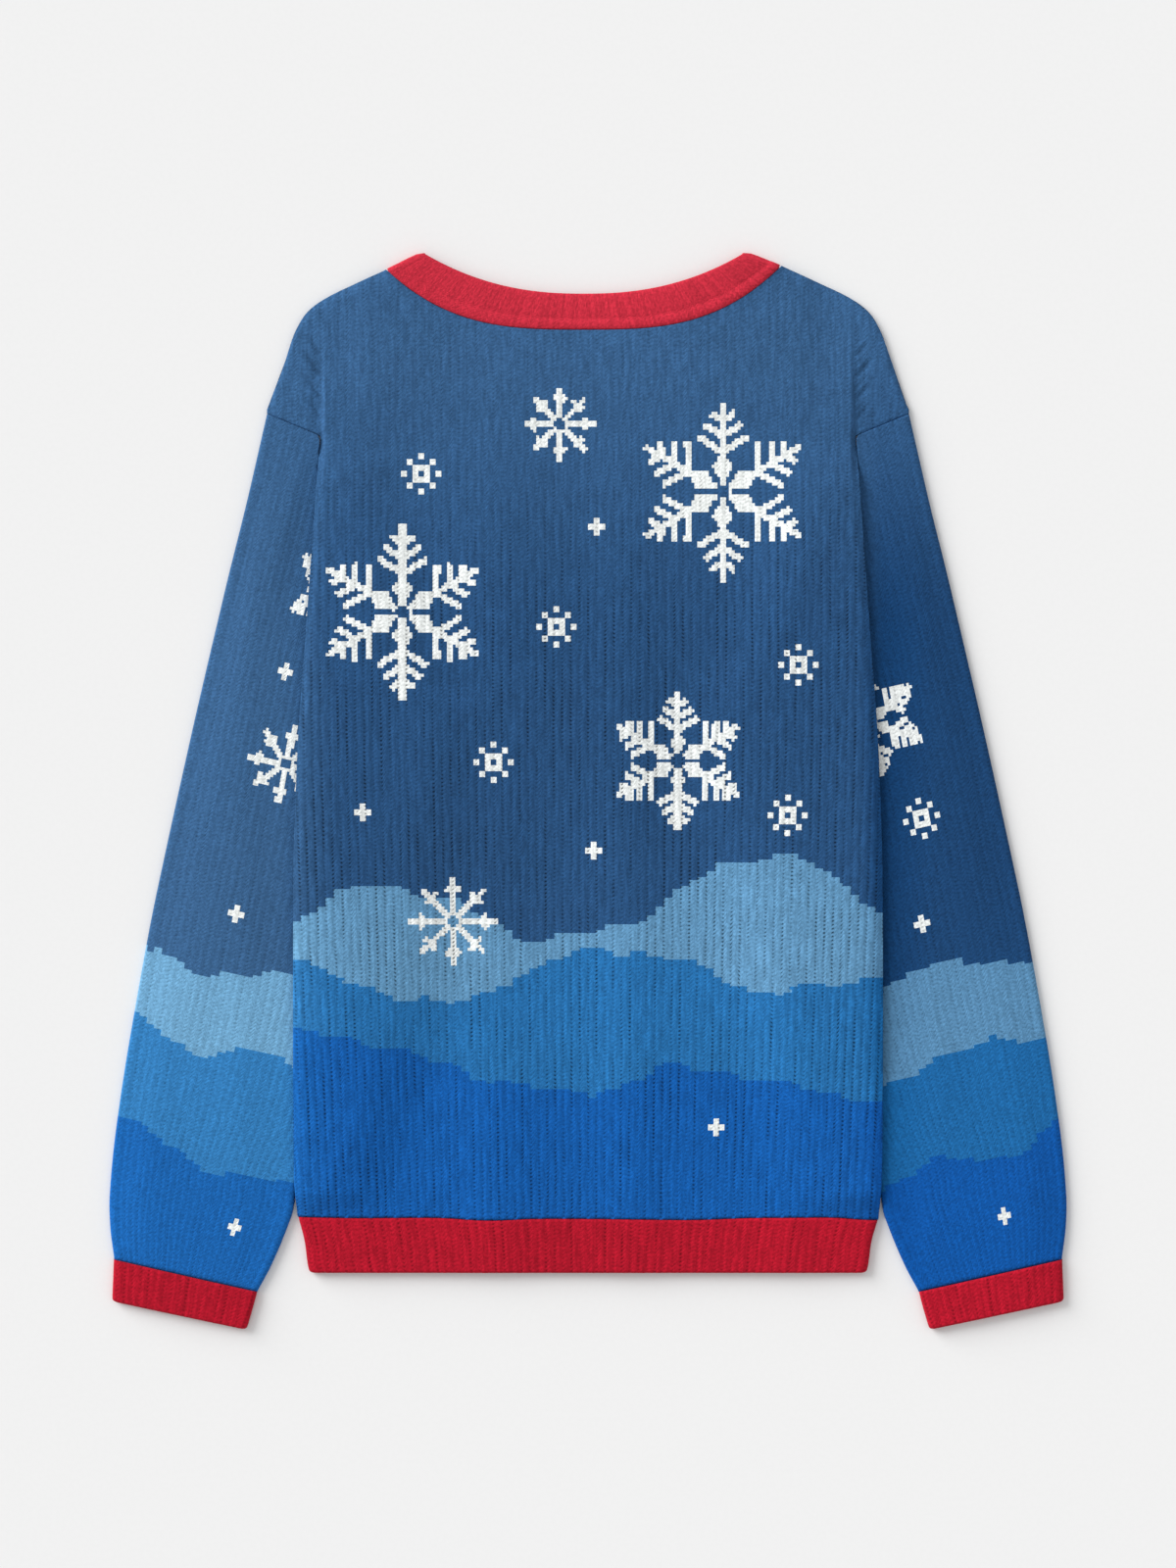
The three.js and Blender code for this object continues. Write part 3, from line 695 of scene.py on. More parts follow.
@dataclass
class Panel:
    """A body panel: one skin of points seen, one plain skin within, and a rim round them.

    Args:
        cut: the sweater's cut.
        name: the piece's name.
        edge: its neck edge.
        pattern: what it is knitted in.
        is_back: whether it is the upper panel.
        columns_per_rib: columns of points for each rib on the side seen.
        row_step: squares of the pattern between rows of points.
        gathers: each armhole crease's level, reach, depth and width.
        rib_rise: the height of a rib by level.
        rib_pitch: the distance between ribs by level.
        chart_rows: rows of the pattern's squares from the hem to the corner.
        fine_rows: rows above the corner that have one more between them.
        fine_ribs: from where to where, in ribs, more columns stand, and how close together.
        plain_step: ribs between the columns of the plain skin.
        plain_rows: squares between its rows.
        to_neck_end: how a column is drawn to the end of the neck.
        edge_round: how far in an edge is rounded.
        near: a distance that counts as none.
        seam_in: how far in the shoulder seam counts as being.
        seam_slope: how fast the cloth above it counts as further in.
        far_in: what counts as clear of an edge.
        edge_thinner: the share of the knit's thickness that an edge lacks.
        under_rise: the height of a rib on the underside.
        under_edge: how high the front's edge is drawn up.
        crease_sides: each side's sign, its creases' lean and the share of their reach.
        crease_in: how far inside the armhole line a crease ends.
        crease_fades: how it comes up and goes.
        smooth_share: how much of the ribs the creases take away.
        smooth_from: from where, outwards.
        smooth_until: until where.
        smooth_above: from which level.
        smooth_below: until which level.
    """

    cut: Cut
    name: str
    edge: NeckEdge
    pattern: Pattern
    is_back: bool
    columns_per_rib: int
    row_step: int
    rib_rise: Profile = Profile(at=(-304.2, 80, 250, 380), value=(0.45, 0.45, 0.28, 0.2))
    rib_pitch: Profile = Profile(at=(-304.2, -100, 100, 254), value=(5.75, 6.0, 6.15, 6.15))
    chart_rows: int = 266
    fine_rows: int = 36
    fine_ribs: tuple[float, float, float] = (30.5, 35.0, 1 / 3)
    plain_step: int = 3
    plain_rows: int = 6
    to_neck_end: Ease = Ease(Cut.corner_y, 80)
    edge_round: float = 6.0
    near: float = 0.001
    seam_in: float = 2.5
    seam_slope: float = 2.0
    far_in: float = 9.0
    edge_thinner: float = 0.5
    under_rise: float = 0.45
    under_edge: float = 0.6
    crease_sides: tuple[tuple[int, float, float], ...] = ((-1, 0.56, 1.0), (1, 0.8, 0.7))
    crease_in: float = 0.5
    crease_fades: tuple[float, float] = (0.5, 0.15)
    smooth_share: float = 0.8
    smooth_from: Ease = Ease(-2, 4)
    smooth_until: Ease = Ease(206, 12)
    smooth_above: Ease = Ease(240, 14)
    smooth_below: Ease = Ease(322, 20)
    gathers: tuple[tuple[float, float, float, float], ...] = (
        (318, 12, 0.4, 1.6), (310, 20, 0.8, 1.9), (303, 14, 0.5, 1.4), (295, 24, 1.0, 2.2),
        (287, 15, 0.5, 1.5), (279, 23, 0.9, 2.0), (271, 15, 0.5, 1.5), (265, 21, 0.7, 1.8),
        (257, 12, 0.4, 1.5),
    )

    @property
    def row_height(self) -> float:
        """The height of one row of the pattern's squares."""
        return (self.cut.corner_y - self.cut.hem_seam_y) / self.chart_rows

    def rows(self, step: int) -> tuple[Array, Array]:
        """Returns the levels of the rows below and above the armhole corner.

        Args:
            step: how many of the pattern's rows lie between them; halves are added by the armholes for 1.

        Returns:
            The levels below the corner and those above it.
        """
        cut, height = self.cut, self.row_height
        down = np.append(np.arange(0, self.chart_rows, step), self.chart_rows)[::-1]
        low = cut.corner_y - height * down
        top = float(cut.shoulder(np.array(cut.neck_x + cut.neck_seam_half)))
        up = np.arange(0, math.ceil((top - cut.corner_y) / height) + step, step)
        high = cut.corner_y + height * up
        if step == 1 and self.is_back:
            high = np.sort(np.append(high, high[:self.fine_rows] + height / 2))
        return low, high

    def plan(self, ribs: Array, low: Array, high: Array) -> tuple[Array, Array]:
        """Lays out the points of a skin in plan, held inside the cut's outline.

        Args:
            ribs: the columns' places in ribs from the middle.
            low: the levels of the rows below the corner.
            high: the levels of the rows above it.

        Returns:
            The plan places of the lower and of the upper rows.
        """
        cut = self.cut
        y = np.broadcast_to(low[:, None], (len(low), len(ribs)))
        half = cut.side_x(y)
        x = np.clip(ribs[None, :] * self.rib_pitch(y), -half, half)
        lower = np.stack([x, y + cut.hem_wave(x) * (1 - cut.wave_fades(y))], axis=-1)
        across = ribs * float(self.rib_pitch(np.array(cut.corner_y)))
        across = np.clip(across, -cut.shoulder_end_x, cut.shoulder_end_x)
        x = np.broadcast_to(across, (len(high), len(ribs))).copy()
        for side in (-1, 1):
            neck_end = cut.neck_x + side * cut.neck_seam_half
            column = np.argmin(np.abs(across - neck_end))
            x[:, column] += (neck_end - across[column]) * self.to_neck_end(high)
        y = np.broadcast_to(high[:, None], x.shape)
        y = np.clip(y, cut.foot_y(x), cut.top_y(self.edge, x))
        for side in (-1, 1):
            corner = np.flatnonzero(side * across >= cut.corner_x)
            x[0, corner.min() if side > 0 else corner.max()] = side * cut.corner_x
        y = y.copy()
        y[0] = cut.foot_y(x[0])
        return lower, np.stack([x, y], axis=-1)

    def at_edge(self, x: Array, y: Array) -> Array:
        """Returns 1 at the panel's free edges and 0 a little way in.

        Args:
            x: the places across.
            y: the places along.

        Returns:
            The share of an edge at each place.
        """
        cut, out = self.cut, np.abs(x)
        from_corner = np.hypot(cut.corner_x - out, y - cut.corner_y)
        above_seam = self.seam_in + self.seam_slope * (y - cut.foot_y(x))
        from_seam = np.minimum(above_seam, cut.shoulder_end_x - out)
        upper = np.where(out < cut.corner_x + self.near, from_corner, from_seam)
        inwards = np.where(y < cut.corner_y, cut.side_x(y) - out, upper)
        past_neck = np.abs(x - cut.neck_x) > cut.neck_seam_half
        down = np.where(past_neck, cut.shoulder_y(x) - y, self.far_in)
        return 1 - smooth(np.minimum(inwards, down) / self.edge_round)

    def creases(self, x: Array, y: Array) -> Array:
        """Returns the small slanting creases that end on the armhole's edge line.

        Args:
            x: the places across.
            y: the places along.

        Returns:
            Their height at each place, none of it above 0.
        """
        made = np.zeros(np.shape(x))
        corner_x = self.cut.corner_x
        for side, lean, share in self.crease_sides:
            for foot, reach, deep, width in self.gathers:
                head = (side * (corner_x + lean * share * reach), foot + share * reach)
                end = (side * (corner_x - self.crease_in), foot)
                made = made + Crease(*head, *end, -deep, width, *self.crease_fades).height(x, y)
        return made

    def smoothed(self, x: Array, y: Array) -> Array:
        """Returns how much of a rib's height the creases by the armholes leave."""
        out = self.smooth_from(np.abs(x) - self.cut.corner_x) * (1 - self.smooth_until(np.abs(x)))
        return 1 - self.smooth_share * out * self.smooth_above(y) * (1 - self.smooth_below(y))

    def heights(self, plan: Array, ribs: Array, seen: bool) -> Array:
        """Returns the heights of a skin's points.

        Args:
            plan: their places in plan.
            ribs: the columns' places in ribs.
            seen: whether it is the ribbed skin rather than the plain one.

        Returns:
            The height of each point.
        """
        cut, x, y = self.cut, plan[..., 0], plan[..., 1]
        edge = self.at_edge(x, y)
        relief = rib_height(ribs)[None, :] * (1 - edge)
        if self.is_back:
            under = cut.back_under(x, y)
            if not seen:
                return under
            relief = self.rib_rise(y) * relief * self.smoothed(x, y)
            return under + cut.knit * (1 - self.edge_thinner * edge) + relief + self.creases(x, y)
        under = cut.front_under(x, y)
        if not seen:
            return under + cut.knit
        return under + mix(self.under_rise * (1 - rib_height(ribs)[None, :]), self.under_edge, edge)

    def skin(self, shell: Shell, ribs: Array, step: int, seen: bool) -> list[Array]:
        """Adds a skin and returns the numbers of its outline, side by side from the hem.

        Args:
            shell: the wall it is added to.
            ribs: the columns' places in ribs.
            step: how many of the pattern's rows lie between rows of points.
            seen: whether it is the ribbed skin.

        Returns:
            The outline's eight stretches.
        """
        low, high = self.rows(step)
        looks_up = seen == self.is_back
        per_rib = self.columns_per_rib
        square = (np.floor((ribs[1:] + ribs[:-1]) / 2 * per_rib + NUDGE) + 0.5) / per_rib
        grids = []
        for levels, plan in zip((low, high), self.plan(ribs, low, high)):
            points = np.concatenate([plan, self.heights(plan, ribs, seen)[..., None]], axis=-1)
            from_hem = levels - self.cut.hem_seam_y
            spread = np.broadcast_to(ribs, plan.shape[:2])
            climb = np.broadcast_to((from_hem / STITCH)[:, None], plan.shape[:2])
            row = from_hem / self.row_height
            middle = np.floor((row[1:] + row[:-1]) / 2 + NUDGE) + 0.5
            middle = self.cut.hem_seam_y + middle * self.row_height
            pitch = self.rib_pitch(np.minimum(middle, self.cut.corner_y))
            across = square[None, :] * pitch[:, None]
            marks = self.pattern.marks(across, np.broadcast_to(middle[:, None], across.shape))
            # painted shade in the creases by the armholes
            crease_shade = 0.0
            if seen and self.is_back:
                crease_shade = np.clip(-self.creases(plan[..., 0], plan[..., 1]), 0, 1)
            uv = np.stack([spread, climb], axis=-1)
            grids.append(shell.skin(points, uv, marks, looks_up, crease_shade))
        lower, upper = grids
        across = self.plan(ribs, low, high)[1][0, :, 0]
        left = np.argmin(np.abs(across + self.cut.corner_x))
        right = np.argmin(np.abs(across - self.cut.corner_x))
        return [
            lower[0],
            lower[:, -1],
            upper[0, right:],
            upper[:, -1],
            upper[-1, ::-1],
            upper[::-1, 0],
            upper[0, :left + 1],
            lower[::-1, 0],
        ]

    def build(self, finish: bpy.types.Material) -> bpy.types.Object:
        """Makes the panel.

        Args:
            finish: its material.

        Returns:
            The finished piece.
        """
        shell = Shell()
        reach = math.ceil(self.cut.shoulder_end_x / min(self.rib_pitch.value)) + 1
        fine = np.arange(-reach * self.columns_per_rib, reach * self.columns_per_rib + 1)
        fine = fine / self.columns_per_rib
        if self.is_back:
            between = np.arange(*self.fine_ribs)
            fine = np.sort(np.concatenate([fine, between, -between]))
        plain = np.arange(-reach, reach + 1, self.plain_step).astype(float)
        seen = self.skin(shell, fine, self.row_step, True)
        within = self.skin(shell, plain, self.plain_rows, False)
        for a, b in zip(seen, within):
            shell.rim(a, b, Yarn.NIGHT.mark, flip=self.is_back)
        return shell.piece(self.name, finish)


@dataclass(frozen=True)
class Ring:
    """The columns round a flattened tube: upper layer, outer fold, lower layer, inner fold.

    The last column is a copy of the first, which closes the ring.

    Args:
        way: each column's way across, 0 at the outer fold and 1 at the inner one.
        turn: half turns made so far: 0 above, 1 below and 2 above again.
        stops: where each of the four stretches begins, and the end.
    """

    way: Array
    turn: Array
    stops: tuple[int, ...]

    @classmethod
    def of(cls, upper: int, lower: int, fold: int) -> "Ring":
        """Returns a ring with so many steps across each layer and points round each fold.

        Args:
            upper: steps across the upper layer.
            lower: steps across the lower layer.
            fold: points round each fold.

        Returns:
            The ring.
        """
        bend = np.arange(1, fold + 1) / (fold + 1)
        above, below = np.linspace(1, 0, upper + 1), np.linspace(0, 1, lower + 1)
        way = [above, np.zeros(fold), below, np.ones(fold + 1)]
        turn = [np.zeros(upper + 1), bend, np.ones(lower + 1), 1 + bend, [2.0]]
        stops = np.cumsum([0, upper, fold + 1, lower, fold + 1])
        return cls(np.concatenate(way), np.concatenate(turn), tuple(stops))

    @property
    def sine(self) -> Array:
        """How far each column stands out of a fold, as a share of the fold's radius."""
        return np.where(self.turn % 1 == 0, 0.0, np.sin(math.pi * self.turn))

    @property
    def cosine(self) -> Array:
        """How high each column stands above the middle, as a share of the same."""
        return np.cos(math.pi * self.turn)

    def ribs_at(self, ribs: int) -> Array:
        """Returns each column's place counted in ribs round the ring, a fold being one rib."""
        return np.where(self.turn < 1, self.way, -self.way) * ribs - self.turn

    def stretches(self, row: Array) -> list[Array]:
        """Returns a ring's numbers cut into its four stretches, each with both its ends."""
        return [row[start:stop + 1] for start, stop in zip(self.stops, self.stops[1:])]


@dataclass
class Tube:
    """A flattened tube of rib knit, open at both ends.

    Args:
        cut: the sweater's cut.
        name: the piece's name.
        side: 1 on the right of the body and -1 on the left.
        thickness: one layer of its cloth between the ribs.
        ribs: how many ribs cross its upper layer.
        rib_rise: the height of a rib.
        length: its length along the middle.
        slack: the air at its folds.
        columns_per_rib: columns of points for each rib above.
        under_columns_per_rib: the same below.
        row_step: the distance between rows of points.
        lip: how far up the lower end is rounded.
        lip_round: the share of its height that the end lacks.
        lip_rows: rows added there, as shares of it.
        corner_radius: the radius of a band's corners.
        under_rise: the height of a rib on the underside.
        fold_points: points round a fold.
        plain_fold_points: the same on the inner skin.
        least_plain: the fewest columns of the inner skin.
        plain_rows: rows of the outer skin for one of the inner.
    """

    cut: Cut
    name: str
    side: int
    thickness: float
    ribs: int
    rib_rise: float
    length: float
    slack: float = 0.6
    columns_per_rib: int = 3
    under_columns_per_rib: int = 2
    row_step: float = CHART_ROW
    lip: float = 1.6
    lip_round: float = 0.45
    lip_rows: tuple[float, ...] = (0.3, 0.6, 1.0)
    corner_radius: float = 2.4
    under_rise: float = 0.45
    fold_points: int = 5
    plain_fold_points: int = 3
    least_plain: int = 8
    plain_rows: int = 8

    def plan(self, way: Array, off: Array, rows: Array) -> tuple[Array, Array]:
        """Returns the plan place of each row and column on the right of the body.

        Args:
            way: the columns' ways across, 0 at the outer fold's axis and 1 at the inner one's.
            off: how far outwards each column stands from there.
            rows: the rows' distances from the tube's lower end.
        """
        raise NotImplementedError

    def air(self, x: Array, y: Array, way: Array, rows: Array) -> Array:
        """Returns the air between the tube's two layers."""
        raise NotImplementedError

    def marks(self, x: Array, y: Array) -> Array:
        """Returns the ramp marks of the yarn at plan places on the right of the body."""
        return np.full(np.shape(x), Yarn.NIGHT.mark)

    def levels(self, step: float) -> Array:
        """Returns the rows' distances from the lower end, closer together at a free lip."""
        regular = np.linspace(0, self.length, max(2, round(self.length / step)) + 1)
        return np.unique(np.concatenate([regular, np.array(self.lip_rows) * self.lip]))

    def rounding(self, rows: Array) -> Array:
        """Returns how much of its height each row keeps: less at the lower end."""
        return 1 - self.lip_round * (1 - np.clip(rows / self.lip, 0, 1)) ** 2

    def corner(self, rows: Array) -> Array:
        """Returns how far each row is drawn in at its ends: a small round corner at the free lip."""
        up = np.clip(rows / self.corner_radius, 0, 1)
        return self.corner_radius * (1 - np.sqrt(1 - (1 - up) ** 2))

    def skin(self, shell: Shell, ring: Ring, step: float, outside: bool) -> Array:
        """Adds the tube's outer or inner skin.

        Args:
            shell: the wall it is added to.
            ring: its columns.
            step: the distance between its rows.
            outside: whether it is the outer skin.

        Returns:
            The numbers of its points.
        """
        rows = self.levels(step)
        radius = self.slack / 2 + (self.thickness if outside else 0.0)
        x, y = self.plan(ring.way, ring.sine * radius, rows)
        grid_way = np.broadcast_to(ring.way, x.shape)
        grid_rows = np.broadcast_to(rows[:, None], x.shape)
        air = self.air(x, y, grid_way, grid_rows)
        relief = rib_height(ring.way * self.ribs)[None, :]
        middle = self.thickness + self.slack / 2
        on_top, below = ring.turn % 2 == 0, ring.turn == 1
        z = np.broadcast_to(middle + radius * ring.cosine, x.shape).copy()
        upper = self.thickness + air + (self.thickness + self.rib_rise * relief if outside else 0.0)
        z = np.where(on_top, upper, z)
        if outside:
            z = np.where(below, self.under_rise * (1 - relief) * (ring.way > 0) * (ring.way < 1), z)
            z = middle + (z - middle) * self.rounding(rows)[:, None]
        points = np.stack([x * self.side, y, z], axis=-1)
        spread = np.broadcast_to(ring.ribs_at(self.ribs), x.shape)
        uv = np.stack([spread, grid_rows / STITCH], axis=-1)
        middles = [(at[:-1, :-1] + at[:-1, 1:] + at[1:, :-1] + at[1:, 1:]) / 4 for at in (x, y)]
        return shell.skin(points, uv, self.marks(*middles), outside == (self.side > 0))

    def build(self, finish: bpy.types.Material) -> bpy.types.Object:
        """Makes the tube.

        Args:
            finish: its material.

        Returns:
            The finished piece.
        """
        shell = Shell()
        upper, lower = self.ribs * self.columns_per_rib, self.ribs * self.under_columns_per_rib
        fine = Ring.of(upper, lower, self.fold_points)
        across = max(self.least_plain, self.ribs // 2)
        plain = Ring.of(across, across, self.plain_fold_points)
        outer = self.skin(shell, fine, self.row_step, True)
        inner = self.skin(shell, plain, self.row_step * self.plain_rows, False)
        for row in (0, -1):
            for a, b in zip(fine.stretches(outer[row]), plain.stretches(inner[row])):
                shell.rim(a, b, Yarn.NIGHT.mark, flip=(row == 0) == (self.side > 0))
        return shell.piece(self.name, finish)


@dataclass
class Sleeve(Tube):
    """A sleeve: its outer half lies free and its inner half is under the body.

    Args:
        pattern: what it is knitted in.
        creases: its soft creases.
        lip: as for any tube.
        lip_round: as for any tube.
        puff: the air where it lies free.
        beside_body: how it fills beside the body.
        from_fold: how it fills from its folds.
        from_cuff: how it fills from the cuff.
        from_armhole: how it fills from the armhole.
        at_cuff: the share of the air at the cuff.
        seam_middle: the middle of the cuff's seam.
        tilt: how far it is turned from upright.
        outline_inset: how far in from its outline a fold's axis lies.
        armhole: the places of its armhole seam.
        shortest: the least length of a column.
        longest: the greatest.
        halvings: how often the search for a column's end halves them.
    """

    pattern: Pattern | None = None
    creases: tuple[Crease, ...] = ()
    lip: float = 3.0
    lip_round: float = 0.3
    puff: float = 2.2
    beside_body: Ease = Ease(10, 34)
    from_fold: Ease = Ease(1, 26)
    from_cuff: Ease = Ease(0, 50)
    from_armhole: Ease = Ease(0, 80)
    at_cuff: float = 0.35
    seam_middle: tuple[float, float] = (287.2, -345.2)
    tilt: float = math.radians(12.7)
    outline_inset: float = 2.3
    armhole: tuple[tuple[float, float], ...] = (
        (132, 60), (161, 120), (188, 188), (193.9, 216), (191.2, 253.95), (229.1, 269.55),
    )
    shortest: float = 300.0
    longest: float = 700.0
    halvings: int = 40

    def to_sleeve(self, x: Array, y: Array) -> tuple[Array, Array]:
        """Returns plan places as distances along the sleeve and outwards from its middle.

        Args:
            x: the places across.
            y: the places along.

        Returns:
            The distances along it and outwards.
        """
        dx, dy = x - self.seam_middle[0], y - self.seam_middle[1]
        c, s = math.cos(self.tilt), math.sin(self.tilt)
        return dy * c - dx * s, dx * c + dy * s

    def to_plan(self, along: Array, out: Array) -> tuple[Array, Array]:
        """Returns places on the sleeve as plan places.

        Args:
            along: the distances along it.
            out: the distances outwards.

        Returns:
            The places across and along the body.
        """
        c, s = math.cos(self.tilt), math.sin(self.tilt)
        middle_x, middle_y = self.seam_middle
        return middle_x + out * c - along * s, middle_y + along * c + out * s

    def edge(self, table: Profile) -> Profile:
        """Returns an edge of the sleeve as a curve of its distance out along the sleeve."""
        along, out = self.to_sleeve(np.array(table.value, float), np.array(table.at, float))
        return Profile(at=tuple(along), value=tuple(out))

    def end(self, out: Array) -> Array:
        """Returns how far along the sleeve its armhole seam lies.

        Args:
            out: the distances outwards.

        Returns:
            The distances along it.
        """
        corners = np.array(self.armhole, float)
        along, across = self.to_sleeve(corners[:, 0], corners[:, 1])
        return np.interp(out, across, along)

    def out(self, along: Array, way: Array, off: Array) -> Array:
        """Returns how far outwards each column lies at distances along the sleeve.

        Args:
            along: the distances along it.
            way: the columns' ways across, 0 at the outer fold and 1 at the inner one.
            off: how far outwards each column stands from there.

        Returns:
            The distances outwards.
        """
        outer = self.edge(self.cut.sleeve_outer)(along) - self.outline_inset
        inner = self.edge(self.cut.sleeve_inner)(along) + self.outline_inset
        return mix(outer, inner, way) + off

    def plan(self, way: Array, off: Array, rows: Array) -> tuple[Array, Array]:
        """Returns the plan places, each column stopping at the armhole seam.

        Args:
            way: the columns' ways across, 0 at the outer fold and 1 at the inner one.
            off: how far outwards each column stands from there.
            rows: the rows' distances from the tube's lower end.

        Returns:
            The places across and along the body.
        """
        low, high = np.full(way.shape, self.shortest), np.full(way.shape, self.longest)
        for _ in range(self.halvings):
            half = (low + high) / 2
            inside = self.end(self.out(half, way, off)) > half
            low, high = np.where(inside, half, low), np.where(inside, high, half)
        along = np.minimum(rows[:, None], low[None, :])
        return self.to_plan(along, self.out(along, way[None, :], off[None, :]))

    def air(self, x: Array, y: Array, way: Array, rows: Array) -> Array:
        """Returns the air inside: least under the body and at the folds and ends.

        Args:
            x: the places across.
            y: the places along.
            way: the columns' ways across, 0 at the outer fold and 1 at the inner one.
            rows: the rows' distances from the tube's lower end.

        Returns:
            The height of the air.
        """
        cut = self.cut
        along, out = self.to_sleeve(x, y)
        width = self.out(along, np.zeros(1), np.zeros(1)) - self.out(along, np.ones(1), np.zeros(1))
        beside = x - np.where(y > cut.corner_y, cut.corner_x, cut.side_x(y))
        free = self.beside_body(beside)
        from_folds = self.from_fold(way * width) * self.from_fold((1 - way) * width)
        from_ends = mix(self.at_cuff, 1.0, self.from_cuff(along)) * self.from_armhole(self.end(out) - along)
        creases = sum(crease.height(x, y) for crease in self.creases)
        return self.slack + (self.puff * free * from_ends + creases) * from_folds

    def marks(self, x: Array, y: Array) -> Array:
        """Returns the ramp marks, the pattern running along the sleeve."""
        along, out = self.to_sleeve(x, y)
        return self.pattern.marks(out, along)

    def levels(self, step: float) -> Array:
        """Returns the rows' distances from the cuff."""
        return np.linspace(0, self.length, round(self.length / step) + 1)


@dataclass
class Cuff(Tube):
    """A short cuff, sewn to the sleeve's end.

    Args:
        seam_outer: the outer end of its seam.
        seam_inner: the inner end.
        end_outer: the outer end of its lip.
        end_inner: the inner end.
        bulge: how far its inner side bulges.
        bulge_power: how early it does.
        puff: the air at its middle.
        fold_share: how soon it fills from a fold.
    """

    seam_outer: tuple[float, float] = (338.3, -333.6)
    seam_inner: tuple[float, float] = (236.1, -356.7)
    end_outer: tuple[float, float] = (339.5, -363.3)
    end_inner: tuple[float, float] = (243.8, -383.6)
    bulge: float = 1.2
    bulge_power: float = 0.8
    puff: float = 0.8
    fold_share: float = 0.3

    def plan(self, way: Array, off: Array, rows: Array) -> tuple[Array, Array]:
        """Returns the plan places between the cuff's four corners.

        Args:
            way: the columns' ways across, 0 at the outer fold and 1 at the inner one.
            off: how far outwards each column stands from there.
            rows: the rows' distances from the tube's lower end.

        Returns:
            The places across and along the body.
        """
        up = rows / self.length
        bulge = np.sin(up * math.pi / 2) ** self.bulge_power - up
        outer = mix(np.array(self.end_outer), np.array(self.seam_outer), up[:, None])
        inner = mix(np.array(self.end_inner), np.array(self.seam_inner), up[:, None])
        inner[:, 0] -= self.bulge * bulge
        run = outer - inner
        unit = run / np.linalg.norm(run, axis=1)[:, None]
        inset = (self.thickness + self.slack / 2 + self.corner(rows))[:, None]
        start, stop = outer - unit * inset, inner + unit * inset
        place = mix(start[:, None, :], stop[:, None, :], way[None, :, None])
        place = place + unit[:, None, :] * off[None, :, None]
        return place[..., 0], place[..., 1]

    def air(self, x: Array, y: Array, way: Array, rows: Array) -> Array:
        """Returns the air inside the cuff."""
        from_folds = smooth(way / self.fold_share) * smooth((1 - way) / self.fold_share)
        return self.slack + self.puff * from_folds


@dataclass
class HemBand(Tube):
    """The band round the hem, which draws the body in.

    Args:
        half: half its width by level.
        follows: how closely it follows the body's folds.
        at_lip: how much of that is left at its lip.
        fold_share: how soon it fills from its sides.
    """

    half: Profile = Profile(at=(-343, -337, -322, -304.5), value=(198.6, 200, 202, 206.6))
    follows: float = 0.8
    at_lip: float = 0.6
    fold_share: float = 0.1

    def plan(self, way: Array, off: Array, rows: Array) -> tuple[Array, Array]:
        """Returns the plan places from side to side of the band.

        Args:
            way: the columns' ways across, 0 at the outer fold and 1 at the inner one.
            off: how far outwards each column stands from there.
            rows: the rows' distances from the tube's lower end.

        Returns:
            The places across and along the body.
        """
        y = self.half.at[0] + rows / self.length * (self.half.at[-1] - self.half.at[0])
        half = self.half(y) - self.thickness - self.slack / 2 - self.corner(rows)
        x = mix(half[:, None], -half[:, None], way[None, :]) + off[None, :]
        return x, y[:, None] + self.cut.hem_wave(x) * ((rows / self.length) ** 2)[:, None]

    def air(self, x: Array, y: Array, way: Array, rows: Array) -> Array:
        """Returns the air inside the band, which follows the body's folds.

        Args:
            x: the places across.
            y: the places along.
            way: the columns' ways across, 0 at the outer fold and 1 at the inner one.
            rows: the rows' distances from the tube's lower end.

        Returns:
            The height of the air.
        """
        above = self.cut.air(x, np.full(np.shape(x), self.cut.hem_seam_y)) - SEAM
        from_folds = smooth(way / self.fold_share) * smooth((1 - way) / self.fold_share)
        return self.slack + self.follows * above * from_folds * mix(self.at_lip, 1.0, rows / self.length)


